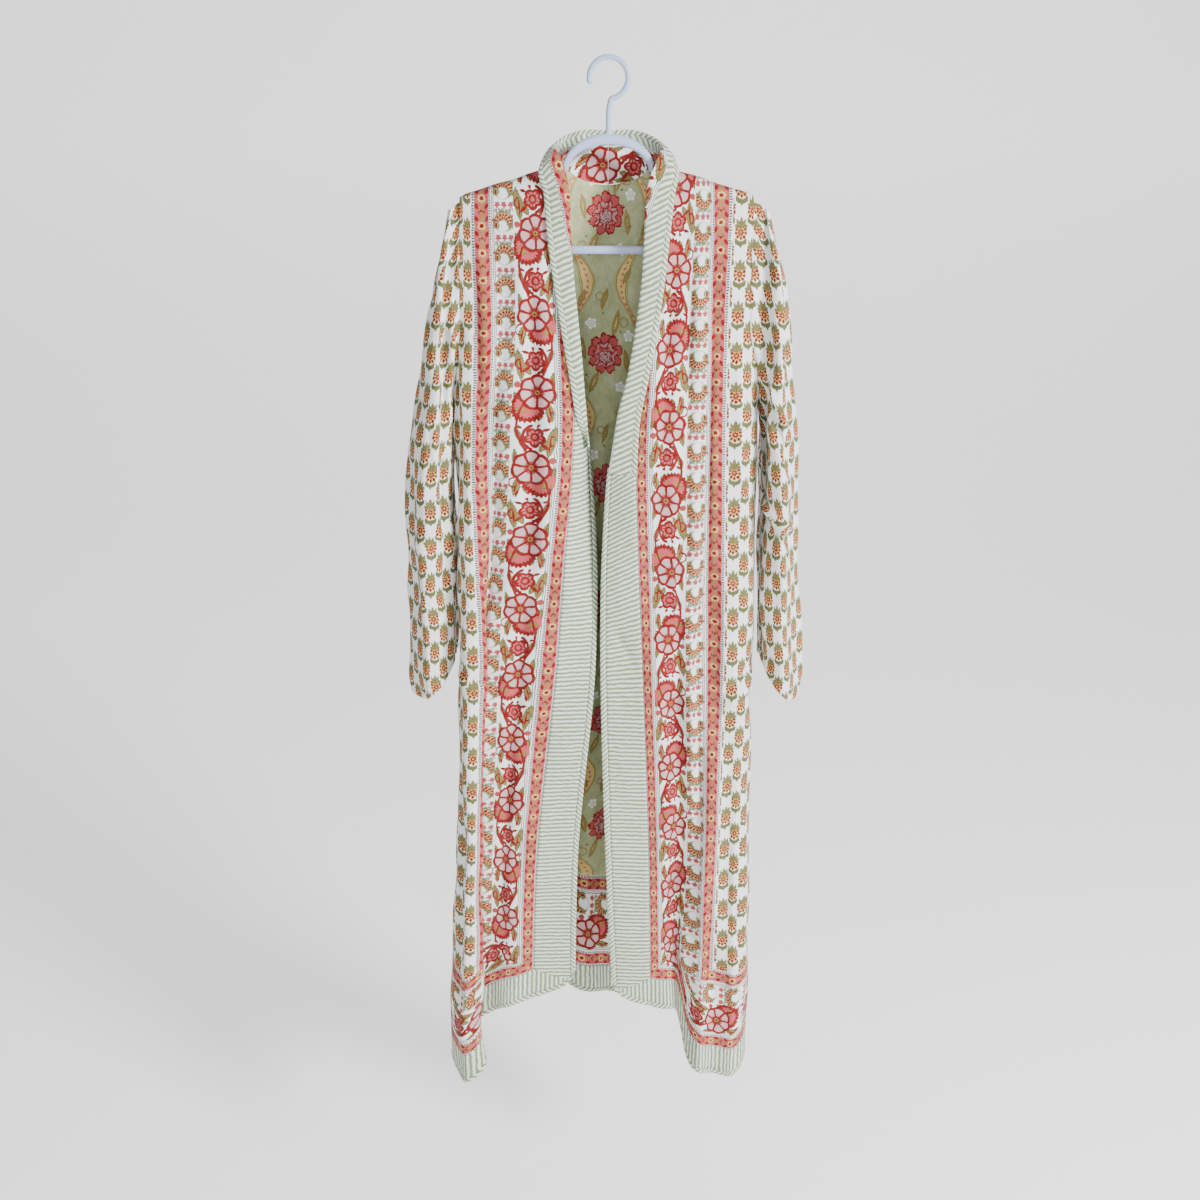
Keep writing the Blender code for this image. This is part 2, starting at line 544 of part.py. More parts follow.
def build_hanger():
    """Moulded plastic hanger: hook, arch under it, sloping arms and a straight bar."""
    turn = np.radians(np.linspace(-80, 190, 24))
    bow = (HOOK_RADIUS + WIRE) * np.stack([np.cos(turn), 0 * turn, np.sin(turn)], axis=1)
    bow[:, 2] -= HOOK_RADIUS
    shank = np.array([[0, 0, -0.0805], [0, 0, -0.070], [0, 0, -0.060], [0.001, 0, -0.051]])
    tube("hanger_hook", np.concatenate([shank, bow]), (WIRE, WIRE), 10, "plastic")
    swing = np.radians(np.linspace(164, 16, 19))
    arch = np.stack([ARCH_HALF * np.cos(swing), 0 * swing, ARCH_BASE + ARCH_RISE * np.sin(swing)],
                    axis=1)
    across = ARCH_SIZE + ARCH_SWELL * np.sin(swing) ** 2
    tube("hanger_arch", arch, np.stack([across, np.full_like(across, ARCH_SIZE)], axis=1), 12,
         "plastic")
    for side, hand in ((-1, "right"), (1, "left")):
        x = np.array([0.0535, 0.058, 0.064, 0.072, 0.095, 0.120, 0.150, 0.166])
        z = np.array([-0.1195, -0.1235, -0.1280, -0.1320, *(shoulder_z(x[4:]) - ARM_BELOW)])
        bend = np.radians(np.linspace(70, -75, 8))
        tip = np.stack([BEND_X + BEND_RADIUS * np.cos(bend),
                        BEND_Z + (BEND_RADIUS + 0.006) * np.sin(bend)], axis=1)
        path = np.concatenate([np.stack([x, z], axis=1), tip])
        path = np.stack([side * path[:, 0], 0 * path[:, 0], path[:, 1]], axis=1)
        tube(f"hanger_arm_{hand}", path, ARM_SIZE, 12, "plastic")
    end = BEND_X + BEND_RADIUS * np.cos(bend[-1]) - 0.004
    bar = np.stack([np.linspace(-end, end, 9), np.zeros(9), np.full(9, BAR_Z)], axis=1)
    tube("hanger_bar", bar, BAR_SIZE, 12, "plastic")


def main():
    for obj in list(bpy.data.objects):
        bpy.data.objects.remove(obj, do_unlink=True)
    for side in (-1, 1):
        build_front(side)
        build_sleeve(side)
        build_collar(side)
    build_back()
    build_hanger()


main()
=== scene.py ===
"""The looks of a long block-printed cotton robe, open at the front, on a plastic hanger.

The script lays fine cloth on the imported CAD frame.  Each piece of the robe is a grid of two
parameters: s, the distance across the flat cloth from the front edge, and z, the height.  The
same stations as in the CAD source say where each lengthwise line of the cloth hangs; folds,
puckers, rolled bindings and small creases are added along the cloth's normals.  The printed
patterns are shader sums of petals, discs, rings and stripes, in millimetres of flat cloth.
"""

import bpy
import numpy as np
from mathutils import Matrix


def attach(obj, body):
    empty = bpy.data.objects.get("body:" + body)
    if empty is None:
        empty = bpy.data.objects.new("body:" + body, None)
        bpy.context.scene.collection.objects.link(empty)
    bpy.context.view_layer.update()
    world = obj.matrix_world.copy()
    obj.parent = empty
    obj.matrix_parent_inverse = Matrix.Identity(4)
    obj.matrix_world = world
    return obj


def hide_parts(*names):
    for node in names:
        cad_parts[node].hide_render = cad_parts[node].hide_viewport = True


bl_info = {
    "name": "Block-Printed Robe",
    "version": (1, 0, 0),
    "blender": (4, 5, 0),
    "location": "3D View > Sidebar > Robe",
    "description": "Builds a long printed cotton robe on its hanger, piece by piece",
    "category": "Add Mesh",
}

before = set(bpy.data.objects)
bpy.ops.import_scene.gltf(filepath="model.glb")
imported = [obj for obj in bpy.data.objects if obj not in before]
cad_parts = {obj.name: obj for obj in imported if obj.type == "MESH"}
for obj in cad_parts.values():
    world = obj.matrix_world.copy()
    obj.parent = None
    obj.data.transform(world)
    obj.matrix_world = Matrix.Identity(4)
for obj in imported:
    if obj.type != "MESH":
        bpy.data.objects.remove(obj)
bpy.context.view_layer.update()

# Sizes shared with the CAD source, metres
WALL = 0.0013            # one layer of the cotton
GAP = 0.0003             # between neighbouring pieces in the CAD
DOUBLE = 0.0024          # where a band wraps both layers
BINDING = 0.008          # bias binding round the edges
BAND = 0.059             # striped front band with its binding
HEM_BAND = 0.050         # striped hem band with its binding
FACING_TOP = 0.215       # the printed border inside the back hem reaches this high
SIDE_SEAM = 0.300        # flat width of a front at the side seam
ARMHOLE = 0.222          # flat width of a front at the shoulder
ARMHOLE_TOP, ARMPIT = -0.300, -0.480
BACK_HALF, BACK_HALF_TOP = 0.226, 0.205     # half the back's flat width, below and at the shoulder
NECK_POINT, NECK_POINT_Z = 0.062, -0.118    # where the neckline meets the shoulder seam
NECK_DROP = 0.143        # the neckline's lowest place, below the hook's top
SEAM_Y = 0.0004          # each side of the shoulder seam stands off the middle plane by this
ARM_CLEAR = 0.0060       # how far the cloth rounds out over the hanger's arm
DEPTH_REACH = 0.12       # the height over which the cloth comes out to its depth
LIFT = 0.0042            # height of the turned neck band over the front
LINING_GAP = 0.0010      # between the back's two layers
HANGER_SLOPE = 0.295     # fall of the shoulder line over its run
SHOULDER_X = 0.188       # where the shoulder ends and the sleeve begins
ROUND_FROM, ROUNDING = 0.170, 17.6          # past this x the shoulder line curves down
FLUTES = ((0.0060, 0.0905, 0.10), (0.0022, 0.0565, 0.30))    # the back's waves: depth, width, shift
BACK_DEPTH = 0.036       # how far behind the middle plane the back hangs
GAP_FINE = 0.0001        # between neighbouring pieces of the fine cloth
FOLDED = 1.35            # cloth in a folded binding over what shows on one face
BAND_TOPS = {-1: -0.384, 1: -0.4855}        # where each front's band goes under the turned neck band

# Where the printed strips of a border end, measured across it from its first dashed line
STRIP_ENDS = (0.022, 0.075, 0.110, 0.132)
# and where they lie over the chest, where the cloth is creased lengthwise
RIGHT_ENDS_UP = (0.019, 0.071, 0.107, 0.139)
LEFT_ENDS_UP = (0.016, 0.066, 0.102, 0.132)
LEFT_PRINT_STARTS = 0.038
FLOWER_STEP = 95.0       # from flower to flower along the vine, millimetres

# Hanger: half sizes of its rods, then the radii, heights and places of their paths
WIRE, HOOK_RADIUS = 0.0032, 0.0200
ARCH_HALF, ARCH_RISE, ARCH_BASE = 0.0530, 0.0375, -0.1265
ARM_BELOW = 0.0105
BEND_X, BEND_Z, BEND_RADIUS = 0.160, -0.1865, 0.0225
BAR_Z = -0.2190
ARCH_SIZE, ARCH_SWELL = 0.0040, 0.0025
ARM_SIZE, BAR_SIZE = (0.0042, 0.0038), (0.0050, 0.0030)

# Heights of the stations, from the shoulder down
LEVELS = np.array([-0.16, -0.30, -0.455, -0.60, -0.75, -1.04, -1.30])

# Wearer's right front: flat distances, then each lengthwise line's x and y at the levels
RIGHT_S = np.array([0.0, BAND, 0.087, 0.134, 0.158, 0.184, 0.212, 0.262, SIDE_SEAM])
RIGHT_X = -np.array([
    [0.050, 0.040, 0.024, 0.014, 0.016, 0.041, 0.047],
    [0.054, 0.048, 0.043, 0.056, 0.068, 0.099, 0.110],
    [0.076, 0.073, 0.074, 0.086, 0.104, 0.129, 0.139],
    [0.120, 0.118, 0.128, 0.138, 0.149, 0.166, 0.176],
    [0.138, 0.136, 0.144, 0.152, 0.170, 0.190, 0.204],
    [0.158, 0.157, 0.163, 0.162, 0.161, 0.176, 0.184],
    [0.178, 0.180, 0.183, 0.186, 0.186, 0.198, 0.212],
    [0.192, 0.194, 0.197, 0.199, 0.203, 0.214, 0.236],
    [0.188, 0.188, 0.190, 0.190, 0.192, 0.200, 0.218],
])
RIGHT_Y = -np.array([
    [0.045, 0.042, 0.010, 0.035, 0.052, 0.056, 0.056],
    [0.045, 0.047, 0.056, 0.062, 0.060, 0.060, 0.058],
    [0.048, 0.052, 0.062, 0.062, 0.062, 0.062, 0.062],
    [0.050, 0.050, 0.055, 0.056, 0.056, 0.055, 0.052],
    [0.048, 0.045, 0.046, 0.046, 0.053, 0.051, 0.049],
    [0.048, 0.050, 0.056, 0.060, 0.066, 0.069, 0.071],
    [0.040, 0.040, 0.044, 0.064, 0.075, 0.079, 0.083],
    [0.015, 0.018, 0.016, 0.020, 0.022, 0.024, 0.026],
    [-.010, -.012, -.012, -.012, -.012, -.012, -.012],
])
# Wearer's left front
LEFT_S = np.array([0.0, BAND, 0.087, 0.110, 0.134, 0.165, 0.189, 0.225, 0.262, SIDE_SEAM])
LEFT_X = np.array([
    [0.048, 0.037, 0.003, -.008, -.010, -.003, 0.008],
    [0.054, 0.048, 0.036, 0.039, 0.046, 0.058, 0.064],
    [0.074, 0.070, 0.064, 0.068, 0.072, 0.083, 0.090],
    [0.094, 0.089, 0.084, 0.088, 0.091, 0.100, 0.104],
    [0.113, 0.108, 0.108, 0.110, 0.112, 0.119, 0.115],
    [0.130, 0.129, 0.130, 0.132, 0.135, 0.138, 0.136],
    [0.151, 0.147, 0.148, 0.151, 0.154, 0.153, 0.154],
    [0.180, 0.179, 0.179, 0.181, 0.184, 0.183, 0.186],
    [0.191, 0.192, 0.192, 0.193, 0.196, 0.203, 0.210],
    [0.188, 0.188, 0.188, 0.186, 0.186, 0.190, 0.196],
])
LEFT_Y = -np.array([
    [0.045, 0.045, 0.050, 0.054, 0.056, 0.058, 0.058],
    [0.045, 0.047, 0.058, 0.062, 0.060, 0.060, 0.060],
    [0.048, 0.052, 0.062, 0.064, 0.064, 0.062, 0.060],
    [0.048, 0.050, 0.056, 0.056, 0.054, 0.048, 0.046],
    [0.050, 0.052, 0.058, 0.062, 0.064, 0.062, 0.056],
    [0.050, 0.046, 0.048, 0.050, 0.052, 0.076, 0.081],
    [0.048, 0.050, 0.054, 0.058, 0.062, 0.070, 0.074],
    [0.040, 0.042, 0.044, 0.048, 0.056, 0.066, 0.078],
    [0.015, 0.016, 0.016, 0.018, 0.020, 0.022, 0.026],
    [-.010, -.012, -.012, -.012, -.012, -.012, -.012],
])
# Hem heights across each flat front, then across the back's flat width
RIGHT_HEM = ([0.0, 0.006, 0.016, 0.034, BAND, 0.134, 0.158, 0.184, 0.212, 0.262, SIDE_SEAM],
             [-1.238, -1.254, -1.266, -1.276, -1.286, -1.318, -1.345, -1.392, -1.418, -1.404,
              -1.392])
LEFT_HEM = ([0.0, 0.006, 0.016, 0.034, BAND, 0.110, 0.125, 0.140, 0.165, 0.225, 0.262, SIDE_SEAM],
            [-1.258, -1.272, -1.283, -1.292, -1.300, -1.318, -1.348, -1.384, -1.400, -1.412,
             -1.402, -1.390])
BACK_HEM = ([-BACK_HALF, -0.12, -0.05, 0.0, 0.05, 0.14, BACK_HALF],
            [-1.392, -1.372, -1.350, -1.366, -1.368, -1.378, -1.390])

# The fold line of the neck band and its free edge down each front: heights, then distances
# from the middle
RIGHT_ROLL = ([-0.458, -0.312, -0.211, -0.118], [0.023, 0.035, 0.043, 0.048])
RIGHT_EDGE = ([-0.458, -0.422, -0.256, -0.188, -0.121], [0.026, 0.039, 0.067, 0.076, 0.081])
LEFT_ROLL = ([-0.490, -0.451, -0.374, -0.257, -0.189, -0.118], [-.001, 0.001, 0.021, 0.039, 0.042, 0.046])
LEFT_EDGE = ([-0.490, -0.447, -0.359, -0.256, -0.188, -0.123], [0.036, 0.035, 0.052, 0.069, 0.076, 0.084])

# Sleeves: heights, outer fold's x, inner edge's x, depth at the front and the back
SLEEVE_Z = [-0.86, -0.75, -0.60, -0.50, -0.38, -0.27, -0.17]
RIGHT_OUT = [0.280, 0.273, 0.267, 0.264, 0.244, 0.222, 0.197]
LEFT_OUT = [0.276, 0.267, 0.252, 0.249, 0.236, 0.225, 0.199]
SLEEVE_IN = [0.212, 0.209, 0.2055, 0.2035, 0.199, 0.193, 0.189]
SLEEVE_FRONT = [0.050, 0.054, 0.058, 0.060, 0.056, 0.052, 0.050]
SLEEVE_BACK = [0.050, 0.050, 0.050, 0.048, 0.048, 0.048, 0.048]
# the cuff's edge: shares of the way round from the underarm over the front, and heights
CUFF = ([0, 0.14, 0.30, 0.40, 0.5, 0.60, 0.70, 0.86, 1.0],
        [-0.757, -0.766, -0.799, -0.813, -0.812, -0.816, -0.808, -0.772, -0.757])
UNDERARM_Y = 0.012       # depth of the underarm seam

# Neck band from the centre back to the shoulder: its seam, its rolled crown and its free edge
NECK_ROOT = [(0, 0.033, -NECK_DROP + GAP), (0.032, 0.029, -0.137), (0.056, 0.015, -0.121),
             (0.062, 0.002, -0.1145), (0.056, -0.013, -0.119)]
NECK_CROWN = [(0, 0.040, -0.110), (0.035, 0.038, -0.106), (0.058, 0.020, -0.094),
              (0.061, 0.003, -0.086), (0.054, -0.016, -0.098)]
NECK_FREE = [(0, 0.042, -0.079), (0.033, 0.041, -0.079), (0.062, 0.024, -0.090),
             (0.078, 0.006, -0.106), (0.085, -0.014, -0.124)]
# Shares of the band's length at those places and at the heights down the front
NECK_AT = [0.0, 0.07, 0.14, 0.18, 0.22, 0.30, 0.39, 0.51, 0.66, 0.84, 1.0]
FRONT_HEIGHTS = [-0.150, -0.20, -0.27, -0.36, -0.42]

# Creases: where each starts and ends on the flat cloth, its width, and its rise (below zero a groove).
# On the fronts they are cross creases and side puckers first, then the long folds.
RIGHT_CREASES = (
    ((0.246, -0.760), (0.178, -0.792), 0.006, 0.0045),
    ((0.250, -0.742), (0.186, -0.776), 0.006, -0.0035),
    ((0.020, -1.085), (0.150, -1.062), 0.010, 0.0020),
    ((0.010, -1.190), (0.120, -1.165), 0.009, -0.0016),
    ((0.215, -0.36), (0.196, -0.60), 0.008, 0.0040),
    ((0.112, -0.22), (0.104, -0.62), 0.009, -0.0060),
    ((0.092, -0.26), (0.086, -0.70), 0.009, 0.0035),
    ((0.098, -0.62), (0.112, -1.16), 0.010, -0.0055),
    ((0.148, -0.60), (0.140, -1.22), 0.008, 0.0040),
    ((0.200, -0.20), (0.176, -0.52), 0.009, -0.0050),
    ((0.235, -0.82), (0.226, -1.32), 0.010, -0.0060),
    ((0.200, -0.86), (0.206, -1.34), 0.009, 0.0040),
)
LEFT_CREASES = (
    ((0.262, -0.770), (0.190, -0.815), 0.006, 0.0045),
    ((0.250, -0.752), (0.184, -0.795), 0.006, -0.0035),
    ((0.010, -1.110), (0.120, -1.130), 0.009, 0.0018),
    ((0.020, -0.700), (0.050, -0.760), 0.007, -0.0020),
    ((0.205, -0.33), (0.215, -0.55), 0.008, 0.0038),
    ((0.096, -0.24), (0.088, -0.58), 0.009, -0.0045),
    ((0.122, -0.20), (0.128, -0.66), 0.009, -0.0055),
    ((0.108, -0.40), (0.104, -0.88), 0.008, 0.0035),
    ((0.150, -0.62), (0.142, -1.20), 0.010, -0.0055),
    ((0.176, -0.30), (0.170, -0.72), 0.009, 0.0040),
    ((0.206, -0.86), (0.212, -1.33), 0.010, -0.0060),
    ((0.236, -0.84), (0.240, -1.35), 0.009, 0.0035),
)
RIGHT_SLEEVE_CREASES = (
    ((0.085, -0.26), (0.070, -0.60), 0.007, 0.0050),
    ((0.062, -0.24), (0.052, -0.70), 0.008, -0.0055),
    ((0.110, -0.50), (0.095, -0.75), 0.007, 0.0035),
    ((0.040, -0.56), (0.120, -0.59), 0.007, 0.0025),
)
LEFT_SLEEVE_CREASES = (
    ((0.055, -0.37), (0.125, -0.46), 0.007, 0.0050),
    ((0.045, -0.39), (0.120, -0.50), 0.008, -0.0050),
    ((0.020, -0.535), (0.120, -0.560), 0.007, 0.0050),
    ((0.020, -0.555), (0.120, -0.585), 0.007, -0.0045),
    ((0.090, -0.20), (0.110, -0.34), 0.009, 0.0040),
)


def curve(t, knots, values):
    """Smooth curve through values at knots: cubic pieces whose slope at a knot is the mean of its
    neighbours' slopes.  values may hold one row of knot values for each t."""
    k = np.asarray(knots, float)
    t = np.clip(np.asarray(t, float), k[0], k[-1])
    v = np.broadcast_to(np.asarray(values, float), t.shape + (len(k),))
    slope = np.diff(v, axis=-1) / np.diff(k)
    middle = (slope[..., 1:] + slope[..., :-1]) / 2
    tangent = np.concatenate([slope[..., :1], middle, slope[..., -1:]], axis=-1)
    i = np.clip(np.searchsorted(k, t, side="right") - 1, 0, len(k) - 2)
    width = (k[1:] - k[:-1])[i]
    f = (t - k[i]) / width

    def take(a, j):
        return np.take_along_axis(a, j[..., None], axis=-1)[..., 0]
    rise = 3 * f**2 - 2 * f**3
    bend = take(tangent, i) * (f**3 - 2 * f**2 + f) + take(tangent, i + 1) * (f**3 - f**2)
    return take(v, i) * (1 - rise) + take(v, i + 1) * rise + width * bend


def ease(t, low, high):
    """0 below low, 1 above high, smooth between."""
    f = np.clip((t - low) / (high - low), 0, 1)
    return f * f * (3 - 2 * f)


def shoulder_z(x):
    """The shoulder line: it falls evenly outwards and rounds over the hanger's end."""
    a = np.abs(x)
    over = np.maximum(a - ROUND_FROM, 0)
    return NECK_POINT_Z - HANGER_SLOPE * (a - NECK_POINT) - ROUNDING * over**2


def hang_depth(z, x):
    """(share of the full depth, depth of the rounding over the hanger's arm) below the shoulder line."""
    d = np.maximum(shoulder_z(x) - z, 0)
    return 1 - np.exp(-d / DEPTH_REACH), SEAM_Y + ARM_CLEAR * (1 - np.exp(-d / 0.004))


def front_point(side, s, z):
    """Outer surface of a front at flat distance s and height z; side -1 is the wearer's right."""
    knots, xs, ys = (RIGHT_S, RIGHT_X, RIGHT_Y) if side < 0 else (LEFT_S, LEFT_X, LEFT_Y)
    down = -LEVELS
    x = curve(s, knots, np.stack([curve(-z, down, row) for row in xs], axis=-1))
    y = curve(s, knots, np.stack([curve(-z, down, row) for row in ys], axis=-1))
    share, seam = hang_depth(z, x)
    return np.stack([x, y * share + seam * np.clip(y / 0.01, -1, 1), z], axis=-1)


def front_hem(side, s):
    """Height of a front's hem at flat distance s."""
    return curve(s, *(RIGHT_HEM if side < 0 else LEFT_HEM))


def front_side(z):
    """Flat distance of a front's outer seam: the armhole seam above the armpit, then the side seam."""
    return ARMHOLE + (SIDE_SEAM - ARMHOLE) * ease(-z, -ARMHOLE_TOP, -ARMPIT)


def front_top(side, s):
    """Height of a front's top edge: the shoulder seam, found from where the line s hangs at the top."""
    x = front_point(side, s, np.full_like(s, LEVELS[0]))[..., 0]
    return shoulder_z(x) - 0.0004 - 0.35 * np.maximum(NECK_POINT - np.abs(x), 0)


def back_half(z):
    """Half the back's flat width at a height."""
    return BACK_HALF_TOP + (BACK_HALF - BACK_HALF_TOP) * ease(-z, 0.16, 0.60)


def at_side(side, z):
    """The front's outer seam at height z."""
    return front_point(side, np.full_like(z, 1.0) * front_side(z), z)


def back_point(u, z):
    """Outer surface of the back at flat distance u from its middle and height z: between the side seams,
    with soft lengthwise flutes that take up the cloth's spare width and grow downwards."""
    f = np.clip(u / back_half(z), -1, 1)
    right, left = at_side(-1, z), at_side(1, z)
    x = right[..., 0] + (left[..., 0] - right[..., 0]) * (f + 1) / 2
    share, seam = hang_depth(z, x)
    grow = ease(-z, 0.22, 0.80)
    flute = sum(deep * np.sin(2 * np.pi * (u / width + shift)) for deep, width, shift in FLUTES)
    y = BACK_DEPTH * share + seam + flute * grow + 0.016 * ease(-z, 0.9, 1.4)
    edge_y = np.where(f < 0, right[..., 1], left[..., 1])
    near = ease(np.abs(f), 0.80, 1.0)
    clear = 0.0016 + 0.0030 * np.exp(-((z + 0.480) / 0.040) ** 2)
    y = y * (1 - near) + (np.maximum(edge_y, seam) + clear) * near
    neck = 0.030 * np.clip(1 - (x / 0.075) ** 2, 0, 1) * np.exp(-np.maximum(-NECK_DROP - z, 0) / 0.25)
    return np.stack([x, y + neck * (1 - share), z], axis=-1)


def back_top(u):
    """Shoulder seam, with the neckline scooped between the neck points."""
    x = np.abs(u) * SHOULDER_X / BACK_HALF_TOP
    scoop = NECK_POINT_Z - (NECK_DROP + NECK_POINT_Z) * (1 - (x / NECK_POINT) ** 2)
    return np.where(x > NECK_POINT, shoulder_z(x), scoop) - 0.0004


def sleeve_point(side, q, z):
    """Outer surface of a sleeve: q runs 0 to 1 from the front armhole seam round the outer fold to the
    back one.  Below the armpit the two ends meet in the underarm seam and the section is a tube."""
    out = curve(z, SLEEVE_Z, RIGHT_OUT if side < 0 else LEFT_OUT)
    # the cuff's outer corner is rounded
    out = out - 0.010 * np.clip((-0.775 - z) / 0.040, 0, 1) ** 2
    inner = curve(z, SLEEVE_Z, SLEEVE_IN)
    front = at_side(side, z)
    back = back_point(side * back_half(z), z)
    share, seam = hang_depth(z, np.full_like(z, SHOULDER_X))
    yf = -(curve(z, SLEEVE_Z, SLEEVE_FRONT) * share + seam)
    yb = curve(z, SLEEVE_Z, SLEEVE_BACK) * share + seam
    below = ease(-z, -ARMPIT - 0.10, -ARMPIT)
    # above the armpit the sleeve's edges are tucked behind the front's and the back's
    step = -0.0012 + 0.0050 * below
    fx = np.abs(front[..., 0]) + step
    bx = np.abs(back[..., 0]) + step + 0.0006
    sx = np.maximum(fx * (1 - below) + inner * below, fx)
    tx = np.maximum(bx * (1 - below) + inner * below, bx)
    fy = (front[..., 1] + 0.0014) * (1 - below) + (UNDERARM_Y * below - 0.0006) * below
    by = (back[..., 1] - 0.0014) * (1 - below) + (UNDERARM_Y * below + 0.0010) * below
    wide = out - inner
    knots = np.array([0, 0.16, 0.32, 0.5, 0.68, 0.84, 1.0])
    x = np.stack([sx, inner + 0.02 * wide + 0.001, inner + 0.52 * wide, out,
                  inner + 0.55 * wide, inner + 0.04 * wide + 0.001, tx], axis=-1)
    y = np.stack([fy, yf * 0.80, yf, 0.10 * yf, yb, yb * 0.75, by], axis=-1)
    wave = 0.0045 * np.sin(2 * np.pi * (q * 5 + 0.2)) * ease(-z, 0.22, 0.40) * np.sin(np.pi * q) ** 2
    return np.stack([side * curve(q, knots, x), curve(q, knots, y) + wave, z], axis=-1)


def cuff_z(q):
    """The sleeve's lower edge: high on the side next to the body, lowest before the outer fold."""
    return curve(q, *CUFF)


def sleeve_top(q):
    """The sleeve's upper end: it bows down a little below the shoulder seam."""
    return shoulder_z(SHOULDER_X) - 0.0006 - 0.010 * np.sin(np.pi * q)


def collar_point(side, a, b):
    """Outer face of the neck band.  a runs 0 to 1 from the centre-back seam over the shoulder to the
    end on the front; b runs 0 to 1 from the neck seam across the band to its free edge.  Each section
    is a quadratic curve from the seam over a rolled crown to the edge."""
    roll, edge = (RIGHT_ROLL, RIGHT_EDGE) if side < 0 else (LEFT_ROLL, LEFT_EDGE)
    zs = np.array([*FRONT_HEIGHTS, roll[0][0]])
    rx, ex = np.interp(zs, *roll), np.interp(zs, *edge)
    over = skin_y(side, rx + 0.010, zs)
    under = skin_y(side, ex, zs)
    # towards its end the turned cloth comes down onto the front
    down = ease(-zs, 0.39, 0.452 if side < 0 else 0.480)
    clear = LIFT * (1 - down) + (0.0030 if side < 0 else 0.0006) * down
    root = [*NECK_ROOT, *zip(rx + 0.002, over - clear * 0.6, zs)]
    crown = [*NECK_CROWN, *zip(rx - 0.003 * (1 - down), over - clear - 0.0055 + 0.0047 * down, zs - 0.001)]
    free = [*NECK_FREE, *zip(ex, under - clear, zs - 0.002)]
    r, c, f = (np.stack([curve(a, NECK_AT, [p[i] for p in row]) for i in range(3)], axis=-1)
               for row in (root, crown, free))
    b = np.asarray(b)[..., None]
    return ((1 - b) ** 2 * r + 2 * b * (1 - b) * c + b**2 * f) * np.array([side, 1, 1])


def skin_y(side, x, z):
    """Depth of the front's outer face at distance x from the middle, found along its flat width."""
    shape = (len(z), 65)
    s = np.broadcast_to(np.linspace(0.0, 0.16, shape[1]), shape)
    skin = front_point(side, s.copy(), np.broadcast_to(z[:, None], shape).copy())
    reach = np.maximum.accumulate(side * skin[..., 0], axis=1)
    return np.array([np.interp(*row) for row in zip(x, reach, skin[..., 1])])



# ---------------------------------------------------------------- shader sums

class Value:
    """A shader socket that takes part in Python sums; every sum adds its Math node."""

    def __init__(self, recipe, socket):
        self.recipe, self.socket = recipe, socket

    def __add__(self, other):
        return self.recipe.math("ADD", self, other)

    __radd__ = __add__

    def __sub__(self, other):
        return self.recipe.math("SUBTRACT", self, other)

    def __rsub__(self, other):
        return self.recipe.math("SUBTRACT", other, self)

    def __mul__(self, other):
        return self.recipe.math("MULTIPLY", self, other)

    __rmul__ = __mul__

    def __truediv__(self, other):
        return self.recipe.math("DIVIDE", self, other)

    def __rtruediv__(self, other):
        return self.recipe.math("DIVIDE", other, self)

    def __abs__(self):
        return self.recipe.math("ABSOLUTE", self)


def both(first, *others):
    """Where every field holds: the least of them."""
    for other in others:
        first = first.recipe.math("MINIMUM", first, other)
    return first


def either(first, *others):
    """Where any field holds: the most of them."""
    for other in others:
        first = first.recipe.math("MAXIMUM", first, other)
    return first


def wrap(value, period):
    """The value brought into one period about zero."""
    return value.recipe.math("WRAP", value, period / 2, -period / 2)


def linear(red, green, blue):
    """A screen colour, 0 to 255, as linear light."""
    c = np.array([red, green, blue]) / 255
    return tuple(float(v) for v in np.where(c <= 0.04045, c / 12.92, ((c + 0.055) / 1.055) ** 2.4))


